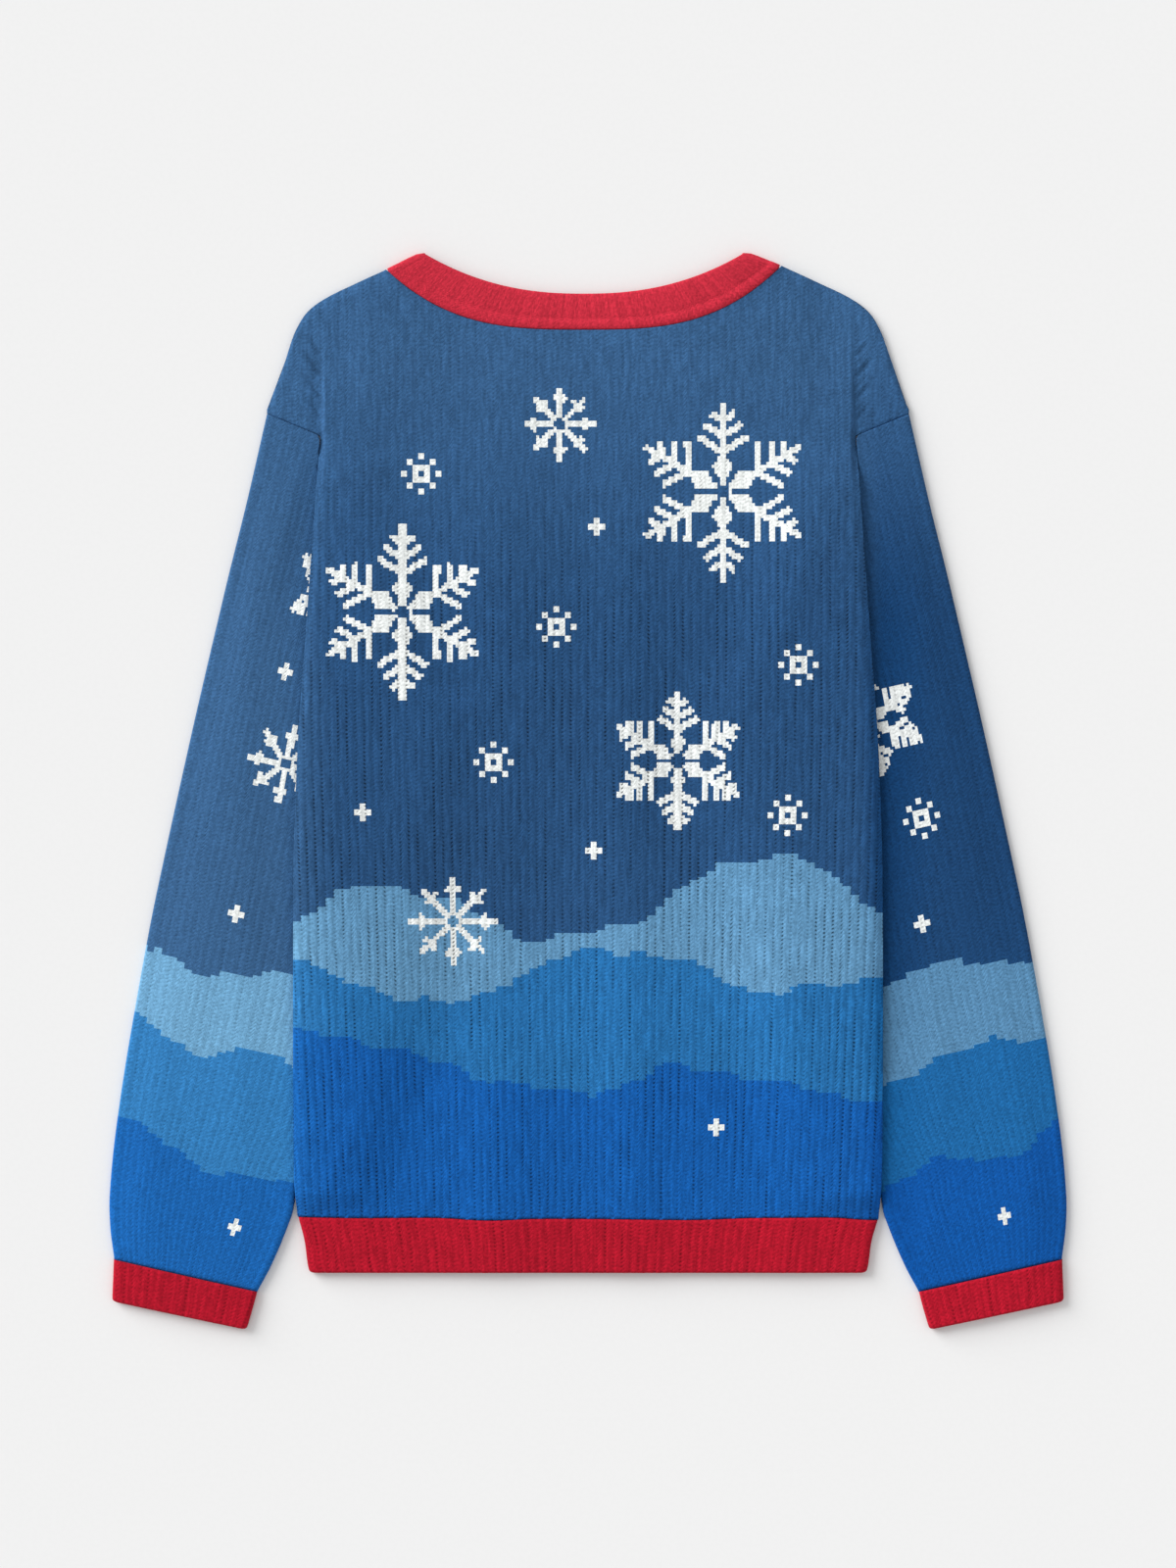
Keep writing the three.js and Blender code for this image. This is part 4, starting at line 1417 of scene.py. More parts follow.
@dataclass
class Neckband:
    """The neckband: a ring of rib knit folded double, over the back and under it at the front.

    Args:
        cut: the sweater's cut.
        name: the piece's name.
        thickness: the thickness of the doubled rib.
        clear: the gap at its seam.
        sag: how far it sinks at the middle of the back.
        sag_half: how far out it does.
        tip_half: half the distance between its tips.
        tip_y: their level.
        back_top: its top edge at the back.
        front_top: the same at the front.
        tip_at: how far out the tips' sections stand.
        ribs: ribs across each layer.
        rib_rise: the height of a rib.
        steps_per_rib: sections for each above.
        under_steps_per_rib: the same below.
        fold_steps: steps round a fold.
        fold_ribs: ribs round it.
        spread: how much closer the sections stand at the tips.
        rows_per_point: stitch rows between points.
        fold_height: the height of the section at a fold.
        fold_drop: how far it drops there towards the top.
        drop_from: where it begins to.
        drop_over: over which share.
        low_below: what counts as a low point.
        flat_above: what lies flat on the surface below.
        section: each point's share across, height and ribbing.
    """

    cut: Cut
    name: str
    thickness: float = 3.6
    clear: float = 0.3
    sag: float = 0.9
    sag_half: float = 0.75
    tip_half: float = 114.5
    tip_y: float = 384.2
    back_top: NeckEdge = NeckEdge(355.2, 2.35)
    front_top: NeckEdge = NeckEdge(303.0, 2.4)
    tip_at: float = 0.985
    ribs: int = 64
    rib_rise: float = 0.08
    steps_per_rib: int = 4
    under_steps_per_rib: int = 2
    fold_steps: int = 8
    fold_ribs: int = 2
    spread: float = 1.2
    rows_per_point: float = 0.6
    fold_height: float = 0.92
    fold_drop: float = 1.4
    drop_from: float = 0.72
    drop_over: float = 0.28
    low_below: float = 0.5
    flat_above: float = 0.7
    section: tuple[tuple[float, float, float], ...] = (
        (0.0, 0.5, 0.0), (0.03, 0.85, 0.0), (0.09, 1.05, 0.3), (0.16, 1.1, 0.4), (0.23, 1.02, 0.3),
        (0.28, 0.78, 0.0), (0.31, 0.7, 0.0), (0.35, 0.8, 0.2), (0.42, 0.9, 0.9), (0.6, 0.95, 1.0),
        (0.8, 0.95, 1.0), (0.93, 0.85, 0.8), (0.985, 0.6, 0.3), (1.0, 0.2, 0.0), (1.0, -0.3, 0.0),
        (0.97, -0.75, 0.0), (0.88, -1.0, 0.0), (0.5, -1.0, 0.0), (0.1, -1.0, 0.0), (0.02, -0.8, 0.0),
        (0.0, -0.4, 0.0),
    )

    def edge_point(self, back: NeckEdge, front: NeckEdge, half: float, tip: bool, turn: float,
                   way: float) -> Array:
        """Returns a point of the band's seam or top edge in plan.

        Args:
            back: the edge where it crosses the back.
            front: the edge where it crosses the front.
            half: half its width.
            tip: whether it ends at the band's tip rather than at the panels' shoulder line.
            turn: 0 on the back and 1 on the front.
            way: its way across, -1 to 1.

        Returns:
            The point.
        """
        cut = self.cut
        x = cut.neck_x + way * half
        end = self.tip_y
        if not tip:
            end = float(cut.shoulder_y(np.array(cut.neck_x + math.copysign(half, way))))
        out = min(1.0, abs(way))
        levels = [edge.low + (end - edge.low) * out**edge.power for edge in (back, front)]
        return np.array([x, mix(levels[0], levels[1], turn**2)])

    def station(self, way: float, turn: float, relief: float) -> Array:
        """Returns the points of one section of the band.

        Args:
            way: its way across, -1 to 1.
            turn: 0 on the back, 1 on the front and between them round a shoulder fold.
            relief: how much of a rib stands there.

        Returns:
            The points.
        """
        cut, radius = self.cut, (self.thickness + SEAM) / 2
        middle = self.thickness + SEAM / 2
        at = way * self.tip_at
        seam = self.edge_point(cut.back_seam, cut.front_seam, cut.neck_seam_half, False, turn, at)
        top = self.edge_point(self.back_top, self.front_top, self.tip_half, True, turn, at)
        across = top - seam
        width = float(np.linalg.norm(across))
        outwards = np.array([across[1], -across[0]]) / width
        if outwards[0] * way < 0:
            outwards = -outwards
        dip = 0.0
        if turn == 0:
            dip = self.sag * (1 - float(smooth(np.array(abs(way) / self.sag_half))))
        made = []
        for share, height, ribbed in self.section:
            past = max(0.0, (share - self.drop_from) / self.drop_over)
            at_fold = self.fold_height - self.fold_drop * past**2
            if height < self.low_below:
                at_fold = min(at_fold, height)
            height = mix(height, at_fold, math.sin(math.pi * turn))
            flat = turn == 1 and height > self.flat_above
            reach = radius + (1.0 if flat else height) * self.thickness / 2
            reach += 0.0 if flat else ribbed * relief * self.rib_rise
            place = seam + across * mix(self.clear / width, 1.0, share)
            place = place + outwards * reach * math.sin(math.pi * turn)
            high = max(0.0, middle + reach * math.cos(math.pi * turn) - dip)
            made.append((place[0], place[1], high))
        return np.array(made)

    def build(self, finish: bpy.types.Material) -> bpy.types.Object:
        """Makes the neckband.

        Args:
            finish: its material.

        Returns:
            The finished piece.
        """
        stations = []
        layers = ((0.0, 1.0, self.steps_per_rib), (1.0, -1.0, self.under_steps_per_rib))
        for layer, (turn, side, per_rib) in enumerate(layers):
            first, count = layer * (self.ribs + self.fold_ribs), self.ribs * per_rib
            for k in range(count + 1):
                bend = mix(-self.spread, self.spread, k / count)
                way = side * math.sin(bend) / math.sin(self.spread)
                stations.append((way, turn, first + k / per_rib))
            for k in range(1, self.fold_steps):
                share = k / self.fold_steps
                rib = first + self.ribs + share * self.fold_ribs
                stations.append((side, abs(turn - share), rib))
        rings = [self.station(way, turn, float(rib_height(np.array(rib)))) for way, turn, rib in stations]
        points = np.array(rings + rings[:1])
        points = np.concatenate([points, points[:, :1]], axis=1)
        ribs = [rib for _, _, rib in stations]
        along = np.array(ribs + [2.0 * (self.ribs + self.fold_ribs)])[:, None]
        around = np.arange(points.shape[1])[None, :]
        uv = np.stack(np.broadcast_arrays(along, around * self.rows_per_point), axis=-1)
        shell = Shell()
        shell.skin(points, uv, np.array(Yarn.NIGHT.mark), up=False)
        return shell.piece(self.name, finish)


@dataclass(frozen=True)
class Grain:
    """A noise that makes a value vary.

    Args:
        scale: how fine the noise is.
        detail: how many finer noises are added to it.
        change: two levels of the noise and the value at each.
        stretch: how much finer it is along each axis, or none if it is even.
    """

    scale: float
    detail: float
    change: Change
    stretch: tuple[float, float, float] | None = None


class Graph:
    """Builds a material's nodes, one short call a node."""

    colour_sockets = (0, 6, 7)
    colour_result = 2

    def __init__(self, name: str) -> None:
        """Starts a material with one Principled shader.

        Args:
            name: the material's name.
        """
        self.material = bpy.data.materials.new(name)
        self.material.use_nodes = True
        self.tree = self.material.node_tree
        self.tree.nodes.clear()
        self.shader = self.tree.nodes.new("ShaderNodeBsdfPrincipled")
        output = self.tree.nodes.new("ShaderNodeOutputMaterial")
        self.tree.links.new(self.shader.outputs["BSDF"], output.inputs["Surface"])

    def node(self, kind: str, **settings: object) -> bpy.types.Node:
        """Adds a node with its settings.

        Args:
            kind: its type.
            settings: its settings.

        Returns:
            The node.
        """
        made = self.tree.nodes.new(kind)
        for key, value in settings.items():
            setattr(made, key, value)
        return made

    def put(self, socket: bpy.types.NodeSocket, value: object) -> None:
        """Links a socket to another one's output, or sets it to a plain value.

        Args:
            socket: the socket.
            value: what it is given.
        """
        if isinstance(value, bpy.types.NodeSocket):
            self.tree.links.new(value, socket)
        else:
            socket.default_value = value

    def math(self, operation: str, *values: object) -> bpy.types.NodeSocket:
        """Returns the result of a Math node.

        Args:
            operation: the operation.
            values: what it works on.

        Returns:
            The result.
        """
        made = self.node("ShaderNodeMath", operation=operation)
        for socket, value in zip(made.inputs, values):
            self.put(socket, value)
        return made.outputs[0]

    def split(self, vector: bpy.types.NodeSocket) -> bpy.types.NodeOutputs:
        """Returns the three parts of a vector.

        Args:
            vector: the vector.

        Returns:
            The parts.
        """
        made = self.node("ShaderNodeSeparateXYZ")
        self.put(made.inputs[0], vector)
        return made.outputs

    def grey(self, value: bpy.types.NodeSocket) -> bpy.types.NodeSocket:
        """Returns the grey of a value.

        Args:
            value: its brightness.

        Returns:
            The grey.
        """
        made = self.node("ShaderNodeCombineColor")
        for socket in made.inputs:
            self.put(socket, value)
        return made.outputs[0]

    def ease(self, value: object, change: Change) -> bpy.types.NodeSocket:
        """Returns a value eased between two others.

        Args:
            value: the value.
            change: the two values, and what they become.

        Returns:
            The eased value.
        """
        made = self.node("ShaderNodeMapRange", interpolation_type="SMOOTHSTEP")
        for socket, given in zip(made.inputs, (value, *change)):
            self.put(socket, given)
        return made.outputs[0]

    def tint(self, share: object, colour: object, other: object, blend: str) -> bpy.types.NodeSocket:
        """Returns two colours blended.

        Args:
            share: how much of the other colour.
            colour: the first colour.
            other: the other colour.
            blend: how they are blended.

        Returns:
            The blend.
        """
        made = self.node("ShaderNodeMix", data_type="RGBA", blend_type=blend)
        for index, value in zip(self.colour_sockets, (share, colour, other)):
            self.put(made.inputs[index], value)
        return made.outputs[self.colour_result]

    def noise(self, vector: bpy.types.NodeSocket, scale: float, detail: float) -> bpy.types.NodeSocket:
        """Returns a noise from 0 to 1.

        Args:
            vector: the place at which it is read.
            scale: how fine it is.
            detail: how many finer ones are added.

        Returns:
            The noise.
        """
        made = self.node("ShaderNodeTexNoise")
        for key, value in (("Vector", vector), ("Scale", scale), ("Detail", detail)):
            self.put(made.inputs[key], value)
        return made.outputs[0]

    def grain(self, vector: bpy.types.NodeSocket, grain: Grain) -> bpy.types.NodeSocket:
        """Returns a value that varies with a noise.

        Args:
            vector: the place at which it is read.
            grain: the noise and what it changes.

        Returns:
            The varied value.
        """
        if grain.stretch:
            made = self.node("ShaderNodeMapping")
            self.put(made.inputs["Vector"], vector)
            self.put(made.inputs["Scale"], grain.stretch)
            vector = made.outputs[0]
        return self.ease(self.noise(vector, grain.scale, grain.detail), grain.change)

    def dress(self, **values: object) -> None:
        """Sets sockets of the shader, each named with a low line for each space.

        Args:
            values: the sockets' values.
        """
        for key, value in values.items():
            self.put(self.shader.inputs[key.replace("_", " ")], value)


def linear(colour: Colour) -> tuple[float, float, float, float]:
    """Returns a screen colour, 0 to 255, as a shader colour.

    Args:
        colour: its red, green and blue.

    Returns:
        The shader colour.
    """
    parts = [part / 255 for part in colour]
    made = [part / 12.92 if part <= 0.04045 else ((part + 0.055) / 1.055) ** 2.4 for part in parts]
    return (made[0], made[1], made[2], 1.0)


@dataclass(frozen=True)
class KnitFinish:
    """Rib knit: soft rows of stitches, uneven painted shade in the valleys with a dot at each row, painted
    shade in the creases and by place, and fuzz.

    Args:
        name: the material's name.
        yarns: each yarn's colour as the screen shows it, in the order of the ramp, with no painted shade.
        shaded_yarns: the same yarns darkened by painted shade where it is deepest, or none if the colour is
            even.
        valley: how much darker the painted shade makes the valleys where it shows most.
        dots: the share of a valley's painted shade that lies in the dots.
        strands: how much lighter and darker its strands are.
        stitch: the depth of a stitch in the bump, in metres.
        yoke: the share of the painted valley shade that is left above the armholes.
        yoke_between: the levels between which it lessens, in metres.
        painted_shade_above: how the painted shade lessens upwards.
        painted_shade_left: how it comes up from the left.
        painted_shade_right: how it grows to the right.
        painted_shadow_by_body: how much more of it the right sleeve has by the body, a painted shadow of
            the body.
        valley_wall: how the painted shade of a valley ends, in ribs.
        dot_wave: the part of a row's wave over which a dot darkens.
        streaks: how the valleys' painted shade varies along them.
        strand: how the strands vary, but for how much.
        fibre: how the fibres vary in brightness.
        patches: how the whole cloth does.
        crease_shade: how much darker the painted shade makes the creases.
        shift_scale: how the noise that moves the rows of each rib is stretched.
        shift_rows: how many rows it moves them.
        slant: how many rows a stitch climbs from its rib's middle to the valley.
        fuzz: the depth of the fuzz, in metres.
        fuzz_scale: how fine it is.
        fuzz_detail: how many finer noises are added to it.
        roughness: the shader's roughness.
        specular: its specular level.
        sheen: its sheen's weight.
        sheen_roughness: its sheen's roughness.
    """

    name: str
    yarns: tuple[Colour, ...]
    # the yarns darkened by painted shade
    shaded_yarns: tuple[Colour, ...] = ()
    valley: float = 0.8
    dots: float = 0.9
    strands: float = 0.13
    stitch: float = 0.00013
    yoke: float = 1.0
    yoke_between: tuple[float, float] = (0.1, 0.27)
    # where the painted shade falls, by place
    painted_shade_above: Change = (0.1, 0.34, 1.0, 0.12)
    painted_shade_left: Change = (-0.23, -0.17, 0.0, 1.0)
    painted_shade_right: Change = (0.19, 0.212, 0.5, 0.85)
    # a painted shadow of the body on the right sleeve
    painted_shadow_by_body: Change = (0.215, 0.255, 1.18, 1.0)
    valley_wall: Change = (0.02, 0.24, 1.0, 0.0)
    dot_wave: tuple[float, float] = (-0.5, 0.9)
    streaks: Grain = Grain(1.0, 2.0, (0.38, 0.66, 0.25, 1.0), (1.3, 0.05, 1.0))
    strand: Grain = Grain(1.0, 2.0, (0.3, 0.7, 1.0, 1.0), (2.4, 0.14, 1.0))
    fibre: Grain = Grain(520.0, 3.0, (0.3, 0.7, 0.85, 1.15))
    patches: Grain = Grain(1.0, 1.0, (0.3, 0.7, 0.95, 1.05), (9.0, 4.0, 1.0))
    crease_shade: Change = (0.1, 1.0, 1.0, 0.72)
    shift_scale: tuple[float, float, float] = (0.9, 0.02, 1.0)
    shift_rows: float = 3.0
    slant: float = 1.5
    fuzz: float = 0.00025
    fuzz_scale: float = 1400.0
    fuzz_detail: float = 2.0
    roughness: float = 0.92
    specular: float = 0.06
    sheen: float = 0.03
    sheen_roughness: float = 0.6

    def ramp(self, graph: Graph, yarns: tuple[Colour, ...]) -> bpy.types.NodeSocket:
        """Returns the colour that the piece's marks pick from some yarns.

        Args:
            graph: the material's nodes.
            yarns: the yarns' colours.

        Returns:
            The colour.
        """
        mark = graph.node("ShaderNodeAttribute", attribute_name="yarn")
        ramp = graph.node("ShaderNodeValToRGB")
        ramp.color_ramp.interpolation = "CONSTANT"
        stops = ramp.color_ramp.elements
        while len(stops) < len(yarns):
            stops.new(1.0)
        for k, colour in enumerate(yarns):
            stops[k].position = k / len(yarns)
            stops[k].color = linear(colour)
        graph.put(ramp.inputs[0], mark.outputs["Fac"])
        return ramp.outputs[0]

    def depth(self, graph: Graph, spot: bpy.types.NodeSocket) -> bpy.types.NodeSocket:
        """Returns the painted shade by place, 0 to 1: none on the left sleeve, some on the body, more on
        the right sleeve and most on it beside the body, which is a painted shadow of the body; less towards
        the top.

        Args:
            graph: the material's nodes.
            spot: the place on the sweater.

        Returns:
            The depth.
        """
        x, y, _ = graph.split(spot)
        # painted shade: less towards the top, none on the left sleeve
        from_left = graph.math("MULTIPLY", graph.ease(y, self.painted_shade_above), graph.ease(x, self.painted_shade_left))
        # more painted shade to the right, and a painted shadow of the body on the right sleeve
        to_right = graph.math("MULTIPLY", graph.ease(x, self.painted_shade_right), graph.ease(x, self.painted_shadow_by_body))
        return graph.math("MULTIPLY", from_left, to_right)

    def colour(self, graph: Graph, spot: bpy.types.NodeSocket) -> object:
        """Returns the yarn's colour, mixed by place with its copy darkened by painted shade.

        Args:
            graph: the material's nodes.
            spot: the place on the sweater.

        Returns:
            The colour.
        """
        if not self.shaded_yarns:
            return linear(self.yarns[0])
        # the yarns and their copies darkened by painted shade, mixed by place
        pale, deep = self.ramp(graph, self.yarns), self.ramp(graph, self.shaded_yarns)
        return graph.tint(self.depth(graph, spot), pale, deep, "MIX")

    def shade(self, graph: Graph, spot: bpy.types.NodeSocket, knit: bpy.types.NodeSocket,
              valley: bpy.types.NodeSocket, rows: bpy.types.NodeSocket) -> bpy.types.NodeSocket:
        """Returns what the yarn's colour is multiplied by: painted shade in the valleys and the creases,
        and random tone.

        Args:
            graph: the material's nodes.
            spot: the place on the sweater.
            knit: the place counted in ribs and rows.
            valley: how far into a valley between two ribs it lies, 0 to 1.
            rows: the place counted in rows.

        Returns:
            The factor.
        """
        row_wave = graph.math("SINE", graph.math("MULTIPLY", rows, 2 * math.pi))
        dot = graph.ease(row_wave, (*self.dot_wave, 1.0 - self.dots, 1.0))
        streak = graph.grain(knit, self.streaks)
        # painted shade in the rib valleys, dotted at each stitch row
        dark = graph.math("MULTIPLY", graph.math("MULTIPLY", valley, dot), streak)
        _, y, _ = graph.split(spot)
        strength = graph.ease(y, (*self.yoke_between, self.valley, self.valley * self.yoke))
        shade = graph.math("SUBTRACT", 1.0, graph.math("MULTIPLY", dark, strength))
        # painted shade in the creases, read from the points
        crease_shade = graph.node("ShaderNodeAttribute", attribute_name="crease_shade").outputs["Fac"]
        swing = (*self.strand.change[:2], 1 - self.strands, 1 + self.strands)
        factors = (
            graph.ease(crease_shade, self.crease_shade),
            graph.grain(knit, replace(self.strand, change=swing)),
            graph.grain(spot, self.fibre),
            graph.grain(spot, self.patches),
        )
        for factor in factors:
            shade = graph.math("MULTIPLY", shade, factor)
        return shade

    def make(self) -> bpy.types.Material:
        """Returns the material.

        Returns:
            The finished material.
        """
        graph = Graph(self.name)
        spot = graph.node("ShaderNodeTexCoord").outputs["Object"]
        knit = graph.node("ShaderNodeUVMap", uv_map="knit").outputs[0]
        rib, row, _ = graph.split(knit)
        stretched = graph.node("ShaderNodeMapping")
        graph.put(stretched.inputs["Vector"], knit)
        graph.put(stretched.inputs["Scale"], self.shift_scale)
        shift = graph.math("MULTIPLY", graph.noise(stretched.outputs[0], 1.0, 2.0), self.shift_rows)
        rows = graph.math("ADD", row, shift)
        across = graph.math("PINGPONG", rib, 0.5)
        # where the painted valley shade falls
        valley = graph.ease(across, self.valley_wall)
        shade = graph.grey(self.shade(graph, spot, knit, valley, rows))
        legs = graph.math("SUBTRACT", rows, graph.math("MULTIPLY", across, self.slant))
        stitches = graph.math("ABSOLUTE", graph.math("SINE", graph.math("MULTIPLY", legs, math.pi)))
        bump = graph.node("ShaderNodeBump")
        graph.put(bump.inputs["Distance"], self.stitch)
        graph.put(bump.inputs["Height"], stitches)
        fuzz = graph.node("ShaderNodeBump")
        graph.put(fuzz.inputs["Distance"], self.fuzz)
        graph.put(fuzz.inputs["Height"], graph.noise(spot, self.fuzz_scale, self.fuzz_detail))
        graph.put(fuzz.inputs["Normal"], bump.outputs[0])
        graph.dress(
            # the yarn's colour times the painted shade and the random tone
            Base_Color=graph.tint(1.0, self.colour(graph, spot), shade, "MULTIPLY"),
            Roughness=self.roughness,
            Specular_IOR_Level=self.specular,
            Sheen_Weight=self.sheen,
            Sheen_Roughness=self.sheen_roughness,
            Normal=fuzz.outputs[0],
        )
        return graph.material


@dataclass(frozen=True)
class Studio:
    """A pale floor, soft light from the upper left and a camera straight above.

    Args:
        floor_half: half the side of the floor, in metres.
        floor_grey: its brightness as a shader value.
        paper: how much its brightness varies.
        paper_scale: how finely it does.
        floor_roughness: its shader's roughness.
        floor_specular: its shader's specular level.
        lens: the camera's lens, in its own millimetres.
        sensor: the height of what is behind the lens, in the same.
        clip_end: how far the camera sees, in metres.
        frame_height: the height of the picture at the sweater, in metres.
        middle_y: what the middle of the picture shows, in metres along Y.
        key_from: the direction that the key light comes from.
        key_angle: how wide the key light is, which makes its shadows soft.
        key_strength: its strength.
        sky: the strength of the fill.
    """

    floor_half: float = 6.0
    floor_grey: float = 0.83
    paper: float = 0.004
    paper_scale: float = 300.0
    floor_roughness: float = 0.95
    floor_specular: float = 0.1
    lens: float = 85.0
    sensor: float = 36.0
    clip_end: float = 50.0
    frame_height: float = 1.12
    middle_y: float = 0.0056
    key_from: tuple[float, float, float] = (-0.72, 0.56, 0.37)
    key_angle: float = math.radians(40)
    key_strength: float = 3.56
    sky: float = 0.64

    def floor(self) -> bpy.types.Object:
        """Makes the floor just under the sweater.

        Returns:
            The floor.
        """
        bpy.ops.object.select_all(action="DESELECT")
        bpy.ops.mesh.primitive_plane_add(size=2 * self.floor_half, location=(0, 0, 0))
        made = bpy.context.active_object
        made.name = "floor"
        graph = Graph("pale floor")
        spot = graph.node("ShaderNodeTexCoord").outputs["Object"]
        change = (0.3, 0.7, self.floor_grey - self.paper, self.floor_grey + self.paper)
        graph.dress(
            Base_Color=graph.grey(graph.grain(spot, Grain(self.paper_scale, 2.0, change))),
            Roughness=self.floor_roughness,
            Specular_IOR_Level=self.floor_specular,
        )
        made.data.materials.append(graph.material)
        return made

    def lights(self) -> None:
        """Makes the soft key light and the even fill."""
        bpy.ops.object.select_all(action="DESELECT")
        bpy.ops.object.light_add(type="SUN", location=self.key_from)
        key = bpy.context.active_object
        key.name = "key light"
        key.data.angle = self.key_angle
        key.data.energy = self.key_strength
        x, y, z = self.key_from
        key.rotation_euler = (math.atan2(math.hypot(x, y), z), 0.0, math.atan2(x, -y))
        world = bpy.data.worlds.new("studio")
        bpy.context.scene.world = world
        world.use_nodes = True
        sky = world.node_tree.nodes["Background"]
        sky.inputs["Color"].default_value = (1.0, 1.0, 1.0, 1.0)
        sky.inputs["Strength"].default_value = self.sky

    def camera(self) -> None:
        """Makes the camera, looking straight down."""
        bpy.ops.object.select_all(action="DESELECT")
        height = self.frame_height * self.lens / self.sensor
        bpy.ops.object.camera_add(location=(0.0, self.middle_y, height), rotation=(0.0, 0.0, 0.0))
        made = bpy.context.active_object
        made.data.lens = self.lens
        made.data.sensor_width = self.sensor
        made.data.clip_end = self.clip_end
        bpy.context.scene.camera = made

    def build(self) -> None:
        """Makes the whole studio."""
        self.floor()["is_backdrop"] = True
        self.lights()
        self.camera()
        bpy.context.scene.view_settings.view_transform = "Standard"


BACK_PATTERN = Pattern(
    drifts=(
        (Yarn.PALE, Profile(at=(-212, -150, -96, -40, 22, 84, 140, 176, 212),
                            value=(-92, -66, -78, -104, -96, -58, -44, -62, -88))),
        (Yarn.MID, Profile(at=(-212, -160, -100, -44, 10, 70, 128, 212),
                           value=(-118, -138, -150, -128, -112, -122, -142, -130))),
        (Yarn.DEEP, Profile(at=(-212, -140, -70, 0, 66, 130, 212),
                            value=(-168, -182, -204, -214, -196, -206, -222))),
    ),
    flakes=(
        fern(96, 214, 64, petal=7.7),
        fern(-132, 128, 62, petal=7.4),
        fern(64, 22, 50, petal=6.0),
        star(-20, 262, 26),
        star(-96, -92, 32),
    ),
    charts=(
        Chart(-118, 228, CRYSTAL),
        Chart(-22, 118, CRYSTAL),
        Chart(150, 92, CRYSTAL),
        Chart(-66, 22, CRYSTAL),
        Chart(142, -16, CRYSTAL),
        Chart(8, 190, SPARK),
        Chart(-160, -14, SPARK),
        Chart(6, -40, SPARK),
        Chart(92, -238, SPARK),
    ),
)
FRONT_PATTERN = Pattern(
    drifts=(
        (Yarn.PALE, Profile(at=(-212, -120, -30, 60, 140, 212), value=(-70, -52, -88, -74, -50, -84))),
        (Yarn.MID, Profile(at=(-212, -130, -40, 50, 130, 212), value=(-126, -112, -140, -122, -140, -120))),
        (Yarn.DEEP, Profile(at=(-212, -110, 0, 110, 212), value=(-206, -188, -212, -184, -200))),
    ),
    flakes=(
        fern(-104, 182, 62, petal=7.4),
        fern(112, 96, 62, petal=7.4),
        fern(-92, 26, 48, petal=5.8),
        star(20, 130, 28),
    ),
    charts=(
        Chart(96, 214, SPARK),
        Chart(-10, 212, SPARK),
        Chart(26, -6, SPARK),
        Chart(-40, -240, SPARK),
    ),
)
LEFT_SLEEVE_PATTERN = Pattern(
    drifts=(
        (Yarn.PALE, Profile(at=(-80, -30, 20, 70), value=(216, 226, 214, 222))),
        (Yarn.MID, Profile(at=(-80, -20, 30, 70), value=(150, 166, 158, 172))),
        (Yarn.DEEP, Profile(at=(-80, -10, 40, 70), value=(86, 76, 92, 100))),
    ),
    flakes=(
        fern(-4, 500, 40, petal=4.8),
        star(10, 372, 28),
    ),
    charts=(
        Chart(-22, 296, CRYSTAL),
        Chart(26, 438, SPARK),
        Chart(22, 262, SPARK),
        Chart(-26, 44, SPARK),
    ),
)
RIGHT_SLEEVE_PATTERN = Pattern(
    drifts=(
        (Yarn.PALE, Profile(at=(-80, -30, 20, 70), value=(206, 216, 226, 212))),
        (Yarn.MID, Profile(at=(-80, -20, 30, 70), value=(148, 152, 166, 154))),
        (Yarn.DEEP, Profile(at=(-80, -10, 40, 70), value=(70, 88, 80, 96))),
    ),
    flakes=(
        fern(2, 404, 40, petal=4.8),
        star(-18, 500, 27),
    ),
    charts=(
        Chart(24, 330, CRYSTAL),
        Chart(-24, 330, SPARK),
        Chart(8, 256, SPARK),
        Chart(20, 40, SPARK),
    ),
)
SLEEVE_CREASES = (
    Crease(203, 246, 231, 118, 1.1, 7),
    Crease(218, 252, 252, 96, 0.8, 8),
    Crease(262, -40, 291, -210, 0.7, 12),
)
BLUE_KNIT = KnitFinish(
    name="ribbed wool blue",
    yarns=((57, 97, 140), (110, 164, 202), (51, 124, 185), (25, 100, 176), (238, 242, 240)),
    # the same yarns darkened by painted shade
    shaded_yarns=((17, 61, 107), (82, 130, 169), (22, 96, 157), (8, 81, 160), (228, 232, 231)),
    yoke=0.3,
)
SLEEVE_KNIT = replace(BLUE_KNIT, name="sleeve wool blue", valley=0.3, yoke=0.7, strands=0.05)
RED_RIB = KnitFinish(name="ribbed wool red", yarns=((175, 20, 41),), valley=0.5)
NECK_RIB = KnitFinish(name="neckband wool red", yarns=((197, 45, 63),), valley=0.1)


@dataclass(frozen=True)
class Cloth:
    """What a piece was cut to, how it lies and what it stands for.

    Args:
        node: the solid that it replaces.
        slot: the material slot that it stands for; not used.
        flat: the width and length of its cut, in metres; not used.
        area: the area of its cut, in square metres; not used.
        rests_on: what it lies on.
    """

    node: str
    slot: str
    flat: tuple[float, float]
    area: float
    rests_on: tuple[str, ...]

    def declare(self, piece: bpy.types.Object) -> None:
        """Attaches the piece to the root body, hides the solid that it replaces and logs its faces.

        Args:
            piece: the finished piece.
        """
        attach(piece, "root")
        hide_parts(self.node)
        list(self.rests_on)
        log.info("made %s with %d faces", piece.name, len(piece.data.polygons))


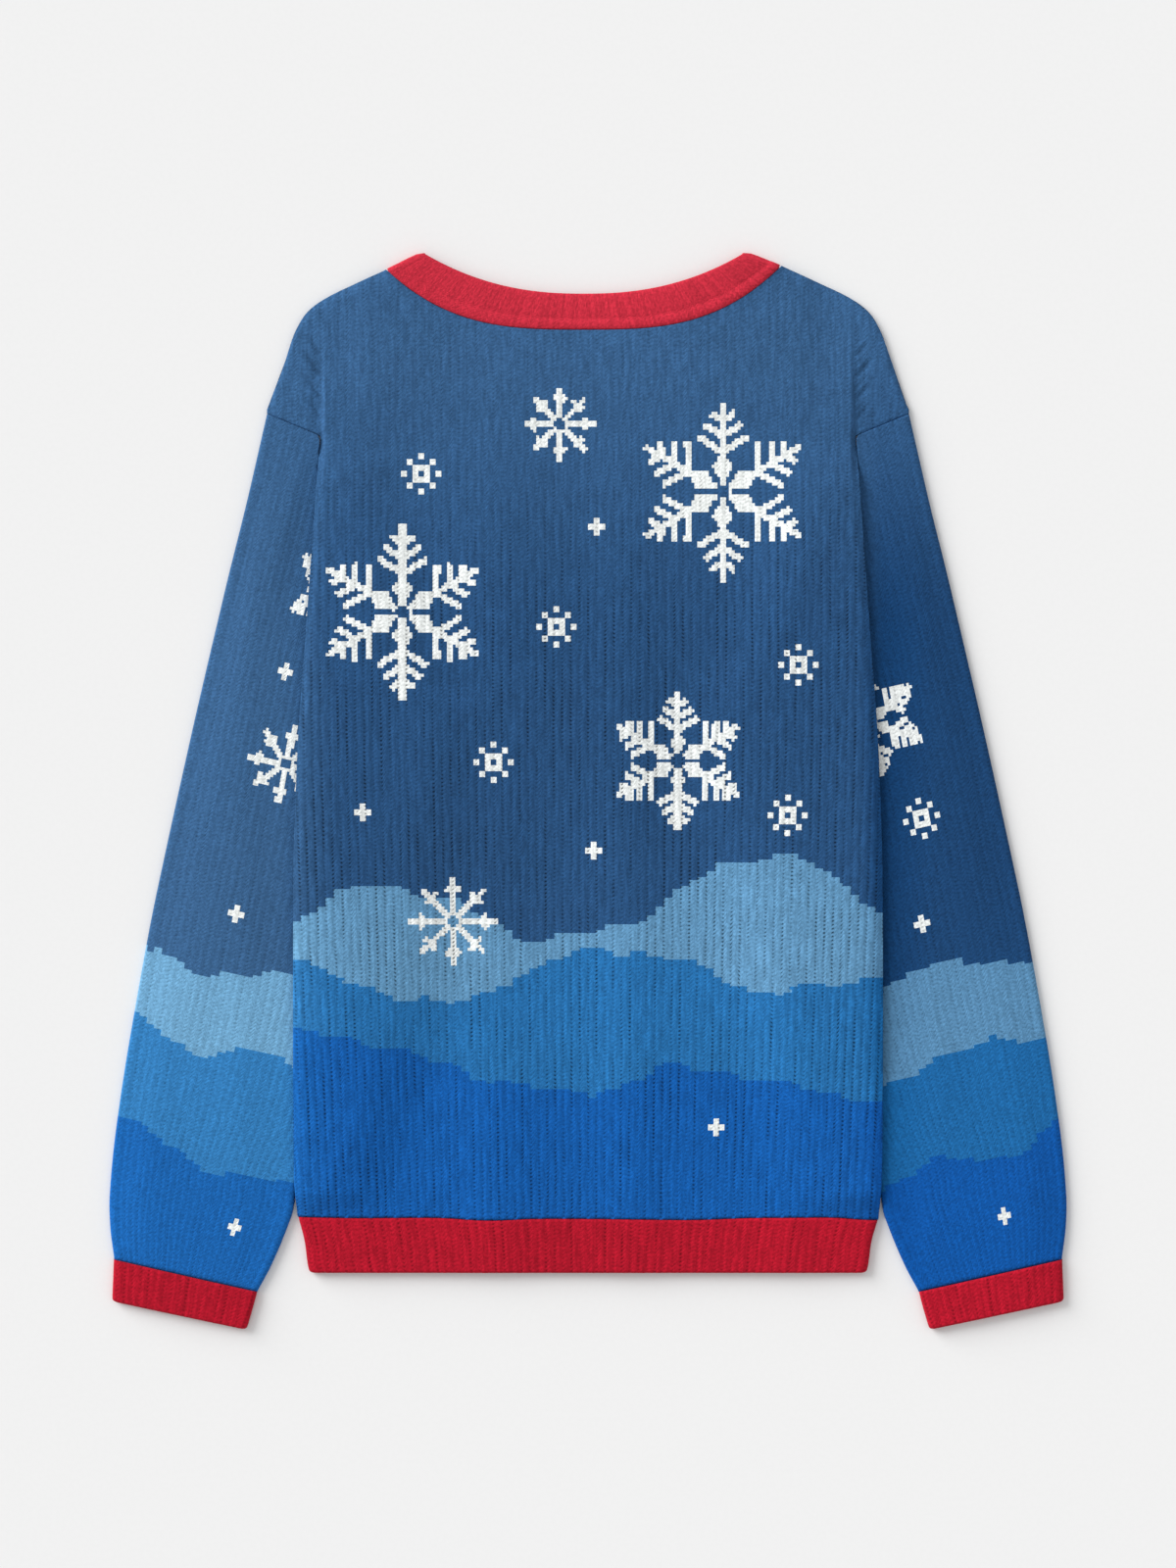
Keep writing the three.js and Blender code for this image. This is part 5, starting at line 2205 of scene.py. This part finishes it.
class Sweater:
    """The whole sweater: two panels, two sleeves, two cuffs, a hem band and a neckband."""

    def __init__(self) -> None:
        """Settles the cut and the finishes."""
        self.cut = Cut()
        self.blue = BLUE_KNIT.make()
        self.sleeve_blue = SLEEVE_KNIT.make()
        self.red = RED_RIB.make()
        self.neck_red = NECK_RIB.make()

    def panels(self) -> None:
        """Makes the front and the back."""
        front = Panel(self.cut, "front_knit", self.cut.front_seam, FRONT_PATTERN, is_back=False,
                      columns_per_rib=2, row_step=2)
        back = Panel(self.cut, "back_knit", self.cut.back_seam, BACK_PATTERN, is_back=True,
                     columns_per_rib=3, row_step=1)
        Cloth("front", "blue_knit", (0.458, 0.677), 0.262, ("floor",)).declare(front.build(self.blue))
        Cloth("back", "blue_knit", (0.458, 0.677), 0.27, ("front_knit",)).declare(back.build(self.blue))

    def sleeves(self) -> None:
        """Makes the sleeves and the cuffs."""
        sides = ((-1, "left", LEFT_SLEEVE_PATTERN), (1, "right", RIGHT_SLEEVE_PATTERN))
        for side, name, pattern in sides:
            sleeve = Sleeve(self.cut, f"sleeve_{name}_knit", side, thickness=2.0, ribs=26, rib_rise=0.35,
                            length=612.2, pattern=pattern, creases=SLEEVE_CREASES)
            cuff = Cuff(self.cut, f"cuff_{name}_rib", side, thickness=2.6, ribs=17, rib_rise=0.45,
                        length=28.6)
            made = Cloth(f"sleeve_{name}", "blue_knit", (0.34, 0.62), 0.15, ("floor",))
            made.declare(sleeve.build(self.sleeve_blue))
            made = Cloth(f"cuff_{name}", "red_rib", (0.2, 0.029), 0.0058, ("floor",))
            made.declare(cuff.build(self.red))

    def bands(self) -> None:
        """Makes the hem band and the neckband."""
        hem = HemBand(self.cut, "hem_band_rib", side=1, thickness=2.6, ribs=66, rib_rise=0.45,
                      length=38.5)
        Cloth("hem_band", "red_rib", (0.82, 0.0385), 0.0315, ("floor",)).declare(hem.build(self.red))
        neck = Neckband(self.cut, "neckband_rib")
        Cloth("neckband", "red_rib", (0.64, 0.025), 0.016, ("floor",)).declare(neck.build(self.neck_red))

    def build(self) -> None:
        """Makes every piece."""
        self.panels()
        self.sleeves()
        self.bands()


def main() -> None:
    """Builds the studio and the sweater and measures both boxes."""
    logging.basicConfig(level=logging.INFO, format="%(message)s")
    Studio().build()
    log.info("made the studio")
    Sweater().build()
    boxes = {"cad": CAD_BOX, "visual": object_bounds()}
    {key: [list(corner) for corner in box] for key, box in boxes.items()}
    log.info("wrote the size file")


if __name__ == "__main__":
    main()
